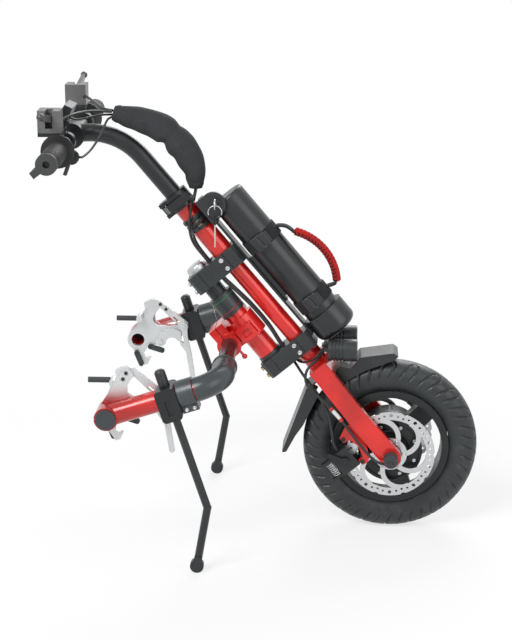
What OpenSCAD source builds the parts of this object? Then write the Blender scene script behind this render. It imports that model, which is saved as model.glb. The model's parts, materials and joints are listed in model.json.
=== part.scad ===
// Wheelchair power assist: a powered front wheel on a raked column, with a battery,
// a T handlebar, a two-leg stand and a docking frame whose hooks latch to a wheelchair.
// X points forward, Y to the left, Z up. The origin is on the floor, under the middle.

/* [Wheel] */
// Outer diameter of the tyre
tyre_od = 318; // [300:1:330]
// Width of the tyre
tyre_w = 60; // [54:1:64]
// Wall thickness of the tyre
tyre_wall = 7; // [5:0.5:9]
// Diameter over the rim flanges
rim_d = 214; // [208:1:220]
// Width over the rim flanges
rim_w = 52; // [48:1:54]
// Number of wide rim spokes
spoke_count = 3; // [3:1:5]
// Width of a rim spoke
spoke_w = 36; // [28:1:44]
// Outer diameter of the motor drum
drum_d = 116; // [108:1:122]
// Width of the motor drum
drum_w = 72; // [66:1:78]
// Diameter of the brake rotors
rotor_d = 160; // [152:1:164]
// Thickness of the brake rotors
rotor_t = 2; // [1.6:0.1:2.4]
// Distance between the middle planes of the brake rotors
rotor_span = 124; // [120:1:128]
// Diameter of the axle
axle_d = 14; // [12:0.5:16]

/* [Fork] */
// Gap between the tyre and the fork crown
crown_gap = 19; // [14:1:26]
// Height of the fork crown
crown_h = 30; // [26:1:36]
// Width of the fork crown across the wheel
crown_w = 126; // [120:1:132]
// Height of the fork neck above the crown
neck_h = 27; // [24:1:34]
// Width of a fork blade seen from the side
blade_w = 34; // [28:1:40]
// Thickness of a fork blade
blade_t = 14; // [11:1:16]
// Distance between the outer faces of the dropouts
dropout_span = 168; // [164:1:176]
// Length of the axle over both caps
axle_len = 210; // [204:1:220]

/* [Column] */
// Rake of the column and the steering axis from vertical
rake = 40; // [36:0.5:44]
// Distance of the column axis behind the axle line
column_setback = 4; // [0:0.5:8]
// Outer diameter of the lower column tube
column_d = 32; // [30:0.5:34]
// Outer diameter of the upper column tube
column_top_d = 39; // [38:0.5:42]
// Length of the upper column tube above its clamp
column_top_len = 119; // [100:1:130]
// Distance between the column axis and the steering axis
spindle_gap = 57; // [56:0.5:62]
// Diameter of the steering spindle
spindle_d = 25; // [22:0.5:27]
// Outer diameter of the head tube
head_d = 41; // [39:0.5:43]
// Length of the head tube
head_len = 97; // [90:1:110]
// Height of the lower column clamp
clamp_h = 33; // [28:1:38]
// Height of the upper column clamp
top_clamp_h = 36; // [30:1:40]
// Width of the column clamps
clamp_w = 52; // [50:1:58]
// Outer diameter of the steering damper
damper_d = 47; // [44:0.5:48]
// Height of the steering damper
damper_h = 41; // [36:1:46]
// Height of the ribbed sleeve above the damper
ribs_h = 23; // [18:1:28]

/* [Handlebar] */
// Diameter of the riser tube
riser_d = 32; // [29:0.5:33]
// Straight length of the riser above the stem collar
riser_len = 86; // [70:1:100]
// Bend radius of the riser
riser_bend_r = 118; // [104:1:126]
// Bend angle of the riser
riser_bend = 58; // [50:0.5:64]
// Distance of the bar from the end of the riser's bend
bar_reach = 15; // [10:0.5:16]
// Diameter of the bar
bar_d = 22; // [21:0.2:24]
// Width over the grips
bar_w = 566; // [540:2:600]
// Length of a grip
grip_len = 113; // [104:1:120]
// Diameter of a grip
grip_d = 36; // [33:0.5:38]
// Height of a brake lever pivot above the bar
lever_rise = 52; // [48:1:58]
// Length of a brake lever from its pivot to the middle of its ball
lever_len = 87; // [76:1:96]

/* [Battery] */
// Distance between the battery axis and the column axis
battery_offset = 70; // [69:0.5:76]
// Diameter of the battery case
battery_d = 65; // [60:0.5:66]
// Length of the battery over its base
battery_len = 318; // [300:1:326]
// Diameter of the battery base
base_d = 79; // [74:0.5:80]
// Height of the battery base
base_h = 48; // [42:1:54]
// Wall thickness of the battery case
case_wall = 3; // [2:0.5:4]
// Width of a battery strap
strap_w = 26; // [20:1:30]
// Chord of the carry handle
handle_chord = 120; // [104:1:128]
// Rise of the carry handle's arc over its chord
handle_rise = 20; // [14:1:28]
// Thickness of the carry handle
handle_d = 18; // [14:0.5:20]
// Length of the battery rail
rail_len = 244; // [236:1:250]

/* [Docking frame] */
// Slope of the docking arms
dock_pitch = 18; // [12:0.5:22]
// Distance between the head tube axis and the cross tube
cross_back = 42; // [40:0.5:48]
// Diameter of the cross tube
cross_d = 30; // [26:0.5:32]
// Distance between the axes of the docking arms
arm_span = 476; // [450:2:500]
// Length of the docking arms from the cross tube
arm_len = 205; // [195:1:230]
// Outer diameter of the docking arms
arm_d = 38; // [35:0.5:39]
// Outer diameter of the elbows
elbow_d = 42; // [39:0.5:44]
// Bend radius of the elbows
elbow_r = 45; // [40:1:50]
// Thickness of the hook plates
hook_t = 8; // [6:0.5:9]
// Reach of a hook plate from its boss to the release lever pivot
hook_len = 90; // [86:1:96]
// Height of a hook plate above its boss
hook_rise = 82; // [78:1:90]
// Diameter of the docking bar that the jaws hold
seat_d = 25.4; // [24:0.1:26]
// Outer diameter of the hook bosses
boss_d = 41; // [38:0.5:43]
// Bore of the hook bosses
boss_bore = 25; // [20:0.5:27]

/* [Stand] */
// Distance of the stand boxes behind the cross tube
stand_back = 94; // [90:1:98]
// Diameter of the stand legs
leg_d = 14; // [12:0.5:15]
// Height of the bend in the stand legs
leg_bend_z = 120; // [90:1:140]
// Rearward slant of the legs below the bend
leg_slant = 10; // [4:0.5:16]
// Diameter of the stand rollers
roller_d = 24; // [20:0.5:28]
// Width of the stand rollers
roller_w = 12; // [10:0.5:14]

/* [Hidden] */
$fn = 64;
// Facets on a hull's own children
hull_fn = 32;
// Overrun of every cut
over = 1;
// Radial running clearance of pins, shafts and bearings
fit_gap = 0.05;
// Clearance between pieces that move past each other
run_gap = 0.3;
paint_red = [0.80, 0.10, 0.10];
satin_black = [0.17, 0.18, 0.19];
rubber_black = [0.12, 0.12, 0.13];
bare_silver = [0.82, 0.84, 0.85];
grip_grey = [0.45, 0.46, 0.45];

// Wheel details
rim_lip = 2.5;
rim_depth = 13;
rim_well = 7;
bead_gap = 0.3;
tyre_bulge = 2.4;
tyre_points = 40;
spoke_t = 26;
spoke_turn = 45;
drum_wall = 6;
cover_t = 8;
hub_boss_d = 62;
bearing_d = 38;
bearing_w = 12;
rotor_band = 15;
rotor_waves = 10;
wave_d = 14;
wave_depth = 2.2;
rotor_hole_d = 4.2;
// Holes of a wave: share of the wave, share of the band, share of the largest hole
rotor_hole_shares = [[0, 0.36, 0.66], [0.23, 0.48, 0.66], [0.5, 0.56, 1], [0.77, 0.48, 0.66]];
rotor_vent_d = 6.4;
rotor_inner_d = 40;
rotor_core_d = 60;
rotor_arms = 6;
rotor_arm_w = 9;
rotor_bolt_circle = 50;
rotor_bolt_d = 9;
rotor_bolt_h = 3;
stator_gap = 4;
stator_w = 46;

// Places along the column, measured from the axle
axle_z = tyre_od / 2;
column_q = -column_setback;
spindle_q = column_q - spindle_gap;
ring_h = 6.7;
ring_d = 44;
cap_h = 13;
cap_d = 38;
collar_h = 30;
collar_d = 48;
collar_grip = 14;
column_socket = 14;
crown_s = tyre_od / 2 + crown_gap;
neck_s = crown_s + crown_h;
low_clamp_s = neck_s + neck_h;
ring_s = low_clamp_s + clamp_h;
head_s = ring_s + ring_h + run_gap;
damper_s = head_s + head_len + run_gap;
ribs_s = damper_s + damper_h;
top_clamp_s = ribs_s + ribs_h;
cap_s = top_clamp_s + top_clamp_h;
column_top_s = cap_s + column_top_len;
collar_s = column_top_s - collar_grip;
bend_s = collar_s + collar_h + riser_len;
bend_q = column_q - riser_bend_r * (1 - cos(riser_bend));
bar_s = bend_s + riser_bend_r * sin(riser_bend) + bar_reach * cos(riser_bend);
bar_q = bend_q - bar_reach * sin(riser_bend);

// Column places turned into part coordinates
function column_x(q, s) = q * cos(rake) - s * sin(rake);
function column_z(q, s) = q * sin(rake) + s * cos(rake);
perch_back = 33;
bar_dx = column_x(bar_q, bar_s);
axle_x = -(bar_dx - perch_back + tyre_od / 2) / 2;
bar_x = axle_x + bar_dx;
bar_z = axle_z + column_z(bar_q, bar_s);

// Fork details
neck_d = 40;
blade_foot_d = 38;
crown_depth = 36;
fork_knee = 10;
fork_knee_gap = 2;
arch_t = 8;
arch_outline_shares = [[-0.24, 2.70], [-0.88, 2.76], [-1.47, 2.47], [-1.47, 2.12], [-1.12, 2.06],
  [-0.97, 1.50], [-1.18, 0.88], [-1.47, 0.88], [-1.47, 0.55], [-1.18, 0.47], [-0.88, 0.65],
  [-0.60, 1.30], [-0.24, 1.76]];
nut_d = 25;
lug_t = 8;
lug_size = 16;

// Caliper details
caliper_s = 46;
caliper_q = -68;
caliper_h = 42;
caliper_depth = 36;
caliper_in = 14;
caliper_out = 18;
rotor_slot = 5;
arm_hub_d = 17;
arm_hub_h = 6;
caliper_arm_len = 34;
caliper_arm_w = 9;
caliper_arm_tilt = 28;
caliper_pin_d = 6;
spring_r = 7;
spring_wire = 1.6;
spring_turns = 7;
spring_pitch = 3.9;
spring_lug_t = 3.5;
curl_steps = 8;
wire_sides = 6;

// Fender details, as shares of the tyre radius measured from the axle
fender_t = 3;
fender_w_share = 0.9;
front_top_shares = [[-0.46, 1.93], [-0.35, 2.06], [0.02, 2.115], [0.06, 2.08]];
front_low_shares = [[-0.66, 1.70], [-0.30, 1.92], [0.01, 2.04]];
rear_flap_shares = [[-0.95, 1.68], [-1.222, 0.92]];
flap_lip_shares = [[-0.835, 1.60], [-1.0, 1.252], [-1.087, 1.124], [-1.19, 0.93]];

// Headlight details
lamp_d = 40;
lamp_len = 50;
lamp_span = 88;
lamp_rise = 10.5;
lamp_lens_t = 3;
lamp_lens_d = 34;
lamp_fin_w = 3;
lamp_fin_depth = 2;
lamp_fins = 4;
lamp_bar_t = 8;

// Column clamp details
clamp_back = 23;
clamp_front = 26;
clamp_slit = 0.8;
clamp_bevel = 6;
channel_w = 26;
channel_q = -34;
channel_depth = 11;
clamp_bolt_d = 8;
clamp_bolt_h = 4;
bolt_inset_share = 0.25;
rib_pitch = 3.8;
rib_depth = 1.6;
ribs_d = 34;
damper_groove = 1;
groove_place_share = 0.2;
bearing_wall = 4;
headset_h = 10;

// Battery details
battery_q = column_q + battery_offset;
base_drop = 7;
base_floor = 8;
base_round = 12;
case_round = 5;
strap_t = 2.2;
strap_gap = 0.3;
slide_gap = 0.4;
base_s = low_clamp_s - base_drop;
battery_top_s = base_s + battery_len;
case_s = base_s + base_floor;
case_len = battery_top_s - case_s;
strap_shares = [0.236, 0.686];
buckle_size = [32, 7, 30];
shoe_w = 16;
shoe_len_share = 0.3;
shoe_place_share = 0.33;
cell_gap = 4;
handle_place_share = 0.41;
handle_link_t = 5;
handle_link_w = 20;
handle_lift = 20;
rail_w = 28;
rail_q0 = column_q + clamp_front;
rail_q1 = battery_q - base_d / 2 - slide_gap;
rail_s0 = base_s + base_h + slide_gap;
rail_s1 = rail_s0 + rail_len;
rail_stop_h = 9;
lock_q1 = battery_q - battery_d / 2 - strap_gap - strap_t - slide_gap;

// Lock and key details
lock_h = 50;
lock_rise = 31;
lock_back = 20;
lock_d = 44;
lock_out = 40;
lock_in = 16;
cheek_gap = 0.8;
barrel_d = 18;
barrel_h = 6;
barrel_shift = 5;
key_shaft_d = 4;
key_shaft_len = 13;
key_bow_d = 20;
key_bow_t = 2.2;
key_hole_d = 6.4;
ring_r = 12;
ring_wire = 1.8;
spare_bow_d = 14;
spare_drop = 8;
spare_blade_len = 40;
spare_blade_w = 6;

// Handlebar details
bar_hub_d = 46;
bar_hub_w = 44;
grip_flange_d = 57;
grip_flange_t = 4;
grip_ribs = 14;
grip_rib_depth = 1.2;
grip_cap = 8;
grip_hole_d = 12;
wing_t = 12;
wing_reach = 31;
wing_len = 46;
wing_turn = 38;
perch_w = 36;
perch_d = 38;
perch_h = 44;
perch_band_d = 36;
perch_band_w = 18;
perch_lift = 24;
perch_shift = 4;
lever_root_d = 14;
lever_t = 11;
lever_slot_gap = 0.5;
lever_pin_d = 6;
lever_end_d = 9;
lever_ball_d = 13;
lever_tilt = 12;
pod_d = 32;
pod_w = 22;
pod_lobe_d = 26;
pod_reach = 20;
pod_drop = 13;
paddle_len = 30;
paddle_w = 14;
paddle_t = 6;
paddle_tilt = 20;
paddle_hub_d = 14;
display_w = 56;
display_h = 46;
display_t = 15;
display_place_share = 0.507;
display_lift = 44;
display_tilt = 24;
display_band_w = 14;
display_band_d = 32;
button_d = 9;
button_h = 2;
button_travel = 1.2;
button_drop_share = 0.32;
collar_ear = 10;
collar_ear_w = 24;
qr_lever_len = 46;
qr_lever_t = 6;
qr_pin_d = 5;
qr_hub_d = 8;
qr_turn = 62;
qr_kick = 8;
qr_step = 0.4;

// Docking details
bracket_wall = 7;
bracket_w = 60;
bracket_up = 27;
bracket_down = 17;
bracket_web_w = 36;
cross_place_share = 0.6;
cross_s = head_s + head_len * cross_place_share;
cross_q = spindle_q - cross_back;
cross_x = axle_x + column_x(cross_q, cross_s);
cross_z = axle_z + column_z(cross_q, cross_s);
lug_block = [30, 48, 18];
frame_size = [32, 6, 28];
frame_window_share = 0.5;
post_d = 8;
latch_rod_d = 5;
latch_ball_d = 10;
latch_len = 34;
arm_y = arm_span / 2;
arm_wall = 3;
elbow_grip = 42;
arm_clamp_w = 28;
arm_clamp_d = 48;
arm_clamp_gap = 2;
arm_clamp_lug = 14;
boss_x = cross_x - arm_len * cos(dock_pitch);
boss_z = cross_z - arm_len * sin(dock_pitch);
hook_inset = 28;
hook_y = arm_y - hook_inset;
boss_y0 = hook_y + hook_t;
boss_len = 40;
boss_slit = 2.4;
boss_cap_t = 4;
gusset_t = 8;
plate_outline_shares = [[-0.22, 0.06], [-0.03, 0.35], [0.05, 0.58], [0.17, 0.75], [0.14, 0.91], [0.28, 0.99],
  [0.40, 1.00], [0.48, 0.97], [1.09, 0.44], [1.09, 0.30], [1.00, 0.17], [0.91, 0.04], [0.60, 0.02],
  [0.59, -0.11], [0.22, -0.12], [0.19, -0.22], [0.12, -0.33], [0.13, -0.40], [0.21, -0.44],
  [0.28, -0.43], [0.21, -0.60], [0.12, -0.63], [-0.11, -0.24]];
plate_window_shares = [[0.49, 0.80], [0.37, 0.63], [0.33, 0.51], [0.37, 0.41], [0.45, 0.35], [0.69, 0.34],
  [0.89, 0.37]];
strut_slot_shares = [[0.74, 0.55], [0.79, 0.59], [0.93, 0.45], [0.88, 0.41]];
gusset_shares = [[-0.22, 0.05], [0.27, 0.90], [0.40, 0.97], [0.50, 0.86], [0.37, 0.60], [0.38, 0.44],
  [0.49, 0.35], [0.89, 0.36], [0.89, 0.22], [0.11, -0.06]];
seat_shares = [0.75, -0.06];
jaw_pivot_shares = [0.50, -0.02];
jaw_outer_share = 1.18;
jaw_cut_shares = [[0.40, -0.02], [0.40, 0.42], [0.95, 0.42], [0.95, 0.02], [0.75, -0.04]];
jaw_hub_d = 18;
lever_pivot_shares = [1.00, 0.36];
handle_shares = [[0.92, 0.36], [1.08, 0.36], [1.09, 0.12], [1.13, -0.12], [1.17, -0.32], [1.24, -0.89],
  [1.19, -0.93], [1.14, -0.89], [1.05, -0.25], [0.93, -0.08], [0.92, -0.02], [0.96, -0.01], [1.01, -0.05],
  [1.00, 0.10]];
release_hub_d = 17;
hook_pin_d = 6;
pin_head_d = 9;
pin_head_t = 2;
pad_w = 9;
pad_shares = [[[0.27, -0.15], [0.53, -0.24]], [[-0.03, -0.31], [0.07, -0.58]]];
layer_t = 7.4;
peg_d = 10;
peg_len = 38;
peg_y_in = 24;
peg_shares = [0.07, 0.60];
peg_stub_d = 12;

// Stand details
box_len = 36;
box_w = 52;
box_up = 22;
box_down = 36;
box_round = 7;
notch_gap = 3.7;
box_window = [9, 3, 28];
leg_pivot_drop = 28;
leg_slot_gap = 0.5;
leg_pin_d = 6;
leg_eye_d = 14.6;
knee_bulge = 0.6;
clevis_t = 2.5;
clevis_gap = 0.4;
roller_pin_d = 6;
clevis_rise = 17;
knob_d = 19;
knob_h = 30;
knob_round = 6;
knob_stem_d = 8;
knob_stem_len = 16;
pivot_x = cross_x - stand_back * cos(dock_pitch) + leg_pivot_drop * sin(dock_pitch);
pivot_z = cross_z - stand_back * sin(dock_pitch) - leg_pivot_drop * cos(dock_pitch);
leg_bend_x = pivot_x + (pivot_z - leg_bend_z) * tan(dock_pitch);
foot_x = leg_bend_x - (leg_bend_z - roller_d / 2) * tan(leg_slant);

// Padded cable sleeve: middle line from the collar's top in column places, and radius, by length
sleeve_sides = 12;
sleeve_len = 200;
sleeve_shares = [[0.040, 0.885, 0.060], [0.080, 0.830, 0.085], [0.130, 0.760, 0.100],
  [0.190, 0.680, 0.115], [0.245, 0.590, 0.125], [0.290, 0.490, 0.130], [0.310, 0.380, 0.130],
  [0.320, 0.265, 0.130], [0.300, 0.150, 0.125], [0.265, 0.045, 0.105], [0.215, -0.030, 0.080],
  [0.165, -0.090, 0.055]];
sleeve_route = sleeve_shares * sleeve_len;
// Cables from the bar to the sleeve's mouth: diameter, then places from the bar (0) or the mouth (1)
cable_sides = 8;
brake_cable_d = 5;
signal_cable_d = 4;
motor_cable_d = 5;
function mirrored(route, k) = [for (p = route) [for (i = [0 : 3]) i == k ? -p[i] : p[i]]];
lever_run = [[0, 2, 129.3, 46], [0, 9, 110, 50], [0, 22, 75, 50], [0, 36, 44, 48], [1, -20, 15, 5],
  [1, -1.5, 6.5, 3]];
cable_runs = [[brake_cable_d, lever_run], [brake_cable_d, mirrored(lever_run, 2)],
  [signal_cable_d, [[0, 33.6, -146.5, -13], [0, 37.6, -133, -14.6], [0, 47, -100, -8],
    [0, 58, -60, 10], [1, -8, -24, -10], [1, -1.5, -7, -6]]],
  [signal_cable_d, [[0, 7.2, -70, 40.8], [0, 18, -58, 36], [0, 34, -38, 36],
    [1, -20, -12, -2], [1, -1.5, 0, -3]]]];
// Cables down the column: diameter, then ahead of the axle line, across, and up from a place on it
brake_run = [[32, 5, 5, 11], [27.6, 16, 5, 7], [19, 23.5, 5, 1], [7.5, 27.6, 5, -8], [-8, 28, 5, -22.5],
  [-23, 22, 5, -41], [-32.5, 13, 5, -62], [-35, 8.5, 4, 50], [-35, 8, 4, -4], [-33, 8, 3, 40],
  [-28, 8, 2, 88], [-28, 8, 2, 40], [-33, 8, 2, 2], [-34.3, 7.8, 1, 23], [-34.5, 8.2, 1, 11],
  [-34.4, 10.4, 1, 0.5], [-34, 16.6, 1, -7.4], [-33.3, 25, 1, -13.2], [-32.2, 35.5, 1, -20],
  [-31, 45.6, 0, 28], [-30.4, 53, 0, 10], [-31, 58, 0, -12], [-38, 64, 0, -46], [-54.5, 70, 6, 33],
  [-64, 72.6, 6, 17], [-68, 73, 6, 0.6]];
lead_run = [[-35, 0, 4, 32], [-35, 0, 4, -4], [-33, 0, 3, 40], [-28, 0, 2, 88], [-28, 0, 2, 40],
  [-32, 0, 2, 4], [-32.5, -0.5, 1, 20], [-32, -3, 1, 8], [-29.6, -8.5, 1, -2], [-24.5, -16, 1, -9.5],
  [-15.5, -22.5, 1, -14.5], [-4, -26, 1, -17], [7.5, -25, 1, -17], [17.5, -19.5, 1, -15.5],
  [27.1, -12.6, 1, -14.5]];
motor_run = [[27.1, -23, 1, -14], [20, -29.5, 1, -16.2], [12.6, -37.5, 1, -17.6], [4.2, -45.6, 1, -17.8],
  [-5.6, -52.6, 1, -16.8], [-16.6, -57.2, 1, -18.9], [-26.6, -59.4, 1, -26], [-32.8, -60.9, 1, -37],
  [-33.8, -62.3, 1, -51], [-31, -64.4, 0, -12], [-27.6, -68.2, 0, -36], [-25.3, -75.5, 0, -68],
  [-25.5, -84, 7, 72], [-25.5, -90.5, 7, 40], [-23, -94.8, 7, 21], [-18.6, -96, 7, 9], [-12.7, -96, 7, 1]];
column_runs = [[brake_cable_d, brake_run], [brake_cable_d, mirrored(brake_run, 1)],
  [signal_cable_d, lead_run], [motor_cable_d, motor_run]];

// Placing helpers
module on_axle() { translate([axle_x, 0, axle_z]) children(); }
module on_wheel() { on_axle() rotate([-90, 0, 0]) children(); }
module on_column() { on_axle() rotate([0, -rake, 0]) children(); }
module on_bar() { translate([bar_x, 0, bar_z]) children(); }
module on_dock() { translate([cross_x, 0, cross_z]) rotate([0, -dock_pitch, 0]) children(); }
module on_hook() { translate([boss_x, 0, boss_z]) children(); }
module pair() {
  children();
  mirror([0, 1, 0]) children();
}
module to_right() { mirror([0, 1, 0]) children(); }

// A round bar along Y from y0 to y1
module bar_y(d, y0, y1) { translate([0, y0, 0]) rotate([-90, 0, 0]) cylinder(d = d, h = y1 - y0); }
// An outline in the XZ plane made solid from y0 to y1
module slab_y(y0, y1) { translate([0, y1, 0]) rotate([90, 0, 0]) linear_extrude(y1 - y0) children(); }
// A box from one corner to the other
module block(low, high) { translate(low) cube(high - low); }
// A round rod between two places with the same Y
module rod(a, b, d) {
  dx = b[0] - a[0];
  dz = b[2] - a[2];
  translate(a) rotate([0, atan2(dx, dz), 0]) cylinder(d = d, h = norm([dx, dz]));
}
// A rectangle with round corners, about its middle
module round_rect(w, h, r) {
  square([w - 2 * r, h], center = true);
  square([w, h - 2 * r], center = true);
  for (x = [-1, 1], y = [-1, 1]) translate([x * (w / 2 - r), y * (h / 2 - r)]) circle(r);
}
function scaled(shares, size) = [for (p = shares) [p[0] * size[0], p[1] * size[1]]];
function unit(v) = v / norm(v);
// Directions along a route, taken over each point's neighbours
function along(p, i) = unit(p[min(i + 1, len(p) - 1)] - p[max(i - 1, 0)]);
// Each ring's side direction is carried on from the ring before it, so that the tube does not twist
function carried(p, i, u) = let (t = along(p, i)) unit(u - t * (u * t));
function sides_of(p, i = 0, last = [0.3, 0.5, 0.81]) = i == len(p) ? [] :
  let (u = carried(p, i, last)) concat([u], sides_of(p, i + 1, u));
function tube_points(p, r, n) = let (s = sides_of(p))
  [for (i = [0 : len(p) - 1], k = [0 : n - 1])
    let (v = cross(along(p, i), s[i])) p[i] + r[i] * (s[i] * cos(360 * k / n) + v * sin(360 * k / n))];
function tube_faces(rings, n) = concat(
  [for (k = [1 : n - 2]) [0, k, k + 1]],
  [for (k = [1 : n - 2]) let (b = (rings - 1) * n) [b, b + k + 1, b + k]],
  [for (i = [0 : rings - 2], k = [0 : n - 1], h = [0, 1])
    let (a = i * n + k, b = i * n + (k + 1) % n)
    h == 0 ? [a, a + n, b] : [b, a + n, b + n]]);
// A tube swept along a route, with a radius at each of its points
module tube(p, r, n) { polyhedron(tube_points(p, r, n), tube_faces(len(p), n)); }

// Wheel
tyre_seat_r = rim_d / 2 - rim_well;
tyre_mid_r = (tyre_od / 2 + tyre_seat_r) / 2;
function bulge_arc(a, half) = sign(a) * half * pow(abs(a), 2 / tyre_bulge);
function tyre_section(inset) = [for (i = [0 : tyre_points - 1]) let (a = 360 * i / tyre_points)
  [tyre_mid_r + bulge_arc(cos(a), (tyre_od / 2 - tyre_seat_r) / 2 - inset),
    bulge_arc(sin(a), tyre_w / 2 - inset)]];
module tyre() {
  bead = rim_w / 2 - rim_lip - bead_gap;
  color(rubber_black) on_wheel() rotate_extrude($fn = 128) difference() {
    union() {
      polygon(tyre_section(0));
      translate([tyre_seat_r + bead_gap, -bead]) square([rim_well + tyre_wall, 2 * bead]);
    }
    polygon(tyre_section(tyre_wall));
    translate([tyre_seat_r - over, -bead + tyre_wall])
      square([rim_well + tyre_wall + over, 2 * (bead - tyre_wall)]);
    translate([0, -tyre_w]) square([tyre_seat_r + bead_gap, 2 * tyre_w]);
    for (side = [-1, 1]) translate([0, side * (rim_w / 2 + bead + bead_gap) - rim_w / 2])
      square([rim_d / 2 + bead_gap, rim_w]);
  }
}
module rim() {
  r = rim_d / 2;
  half = rim_w / 2;
  inner = r - rim_depth;
  color(satin_black) on_wheel() {
    rotate_extrude($fn = 128) difference() {
      translate([inner, -half]) square([rim_depth, rim_w]);
      translate([tyre_seat_r, -half + rim_lip]) square([rim_well + over, rim_w - 2 * rim_lip]);
    }
    difference() {
      union() {
        cylinder(d = drum_d, h = drum_w, center = true);
        for (i = [0 : spoke_count - 1]) rotate(360 * i / spoke_count - spoke_turn)
          translate([(inner + drum_wall) / 2, 0, 0])
            cube([inner + drum_wall / 2, spoke_w, spoke_t], center = true);
      }
      cylinder(d = drum_d - 2 * drum_wall, h = drum_w + over, center = true);
      difference() {
        cylinder(r = r + over, h = spoke_t + over, center = true);
        cylinder(r = inner + rim_depth - rim_well - over, h = spoke_t + 2 * over, center = true);
      }
    }
  }
}
hub_face = rotor_span / 2 - rotor_t / 2;
module hub_covers() {
  color(satin_black) on_wheel() for (side = [0, 1]) mirror([0, 0, side]) difference() {
    union() {
      translate([0, 0, drum_w / 2]) cylinder(d = drum_d, h = cover_t);
      translate([0, 0, drum_w / 2]) cylinder(d = hub_boss_d, h = hub_face - drum_w / 2);
    }
    translate([0, 0, drum_w / 2 - over]) cylinder(d = axle_d + 2 * run_gap, h = hub_face);
    translate([0, 0, hub_face - bearing_w]) cylinder(d = bearing_d, h = bearing_w + over);
  }
}
module hub_bearings() {
  color(bare_silver) on_wheel() for (side = [0, 1]) mirror([0, 0, side])
    translate([0, 0, hub_face - bearing_w]) difference() {
      cylinder(d = bearing_d, h = bearing_w);
      translate([0, 0, -over]) cylinder(d = axle_d + 2 * fit_gap, h = bearing_w + 2 * over);
    }
}
module rotor_outline() {
  outer = rotor_d / 2;
  inner = outer - rotor_band;
  difference() {
    circle(outer);
    circle(inner);
    for (i = [0 : rotor_waves - 1]) rotate(360 * i / rotor_waves) {
      translate([outer + wave_d / 2 - wave_depth, 0]) circle(d = wave_d);
      for (place = rotor_hole_shares) rotate(360 * place[0] / rotor_waves)
        translate([inner + rotor_band * place[1], 0]) circle(d = rotor_vent_d * place[2]);
    }
  }
  difference() {
    circle(d = rotor_core_d);
    circle(d = rotor_inner_d);
    for (i = [0 : rotor_arms - 1]) rotate(360 * i / rotor_arms)
      translate([rotor_bolt_circle / 2, 0]) circle(d = rotor_hole_d);
  }
  // Each arm is a piece of a thin ring that curls from the core to the band
  curl = (inner + rotor_band / 2) / 2;
  for (i = [0 : rotor_arms - 1]) rotate(360 * i / rotor_arms) difference() {
    intersection() {
      translate([curl, 0]) circle(curl);
      square([rotor_d, rotor_d]);
    }
    translate([curl, 0]) circle(curl - rotor_arm_w);
    circle(d = rotor_core_d - rotor_arm_w);
    difference() {
      circle(rotor_d);
      circle(inner + over);
    }
  }
}
module brake_rotors() {
  color(bare_silver) on_wheel() for (side = [0, 1]) mirror([0, 0, side])
    translate([0, 0, hub_face]) linear_extrude(rotor_t) rotor_outline();
}
module rotor_bolts() {
  color(satin_black) on_wheel() for (side = [0, 1], i = [0 : rotor_arms - 1]) mirror([0, 0, side])
    rotate(360 * i / rotor_arms) translate([rotor_bolt_circle / 2, 0, hub_face + rotor_t])
      cylinder(d = rotor_bolt_d, h = rotor_bolt_h);
}

// Fork and axle
dropout_in = dropout_span / 2 - blade_t;
module axle() {
  inner = axle_len - 2 * lug_t;
  color(bare_silver) on_wheel() cylinder(d = axle_d, h = inner, center = true);
}
module motor_stator() {
  color("darkorange") on_wheel() difference() {
    cylinder(d = drum_d - 2 * drum_wall - 2 * stator_gap, h = stator_w, center = true);
    cylinder(d = axle_d, h = stator_w + over, center = true);
  }
}
module axle_caps() {
  color(satin_black) on_axle() pair() difference() {
    bar_y(nut_d, dropout_span / 2, axle_len / 2);
    bar_y(axle_d, dropout_span / 2 - over, axle_len / 2 - lug_t);
  }
}
knee_s = rotor_d / 2 + fork_knee;
knee_y = rotor_span / 2 + rotor_t + run_gap + fork_knee_gap;
module blade_slice(y0, s, h) {
  translate([0, y0 + blade_t / 2, s]) cube([blade_w, blade_t, h], center = true);
}
module fork_blade() {
  hull() {
    bar_y(blade_foot_d, dropout_in, dropout_span / 2, $fn = hull_fn);
    blade_slice(knee_y, knee_s, fork_knee);
  }
  hull() {
    blade_slice(knee_y, knee_s, fork_knee);
    blade_slice(crown_w / 2 - blade_t, crown_s + crown_h / 2, crown_h - 2 * over);
  }
}
module fork() {
  color(paint_red) on_column() {
    difference() {
      union() {
        pair() fork_blade();
        translate([0, 0, crown_s + crown_h / 2])
          cube([crown_depth, crown_w - 2 * over, crown_h], center = true);
        translate([column_q, 0, neck_s]) cylinder(d = neck_d, h = neck_h);
        translate([crown_depth / 2 + lug_size / 2, 0, neck_s - lug_size / 2])
          cube([lug_size, lug_size, lug_size], center = true);
      }
      bar_y(axle_d, -dropout_span, dropout_span);
      translate([column_q, 0, low_clamp_s - column_socket]) cylinder(d = column_d, h = neck_h);
    }
    pair() slab_y(dropout_in - arch_t / 2, dropout_in + arch_t / 2)
      polygon(scaled(arch_outline_shares, [blade_w, blade_w]));
  }
}

// Brakes
caliper_y0 = rotor_span / 2 - rotor_slot / 2;
caliper_y1 = rotor_span / 2 + rotor_slot / 2;
spring_q = caliper_q - caliper_depth / 2 - spring_r - spring_wire;
spring_y = caliper_y1 + caliper_out / 2;
spring_h = spring_turns * spring_pitch;
function spring_path() = [for (i = [0 : spring_turns * curl_steps])
  let (a = 360 * i / curl_steps)
  [spring_q + spring_r * cos(a), spring_y + spring_r * sin(a),
    caliper_s - spring_h / 2 + spring_pitch * i / curl_steps]];
spring_points = spring_path();
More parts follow.
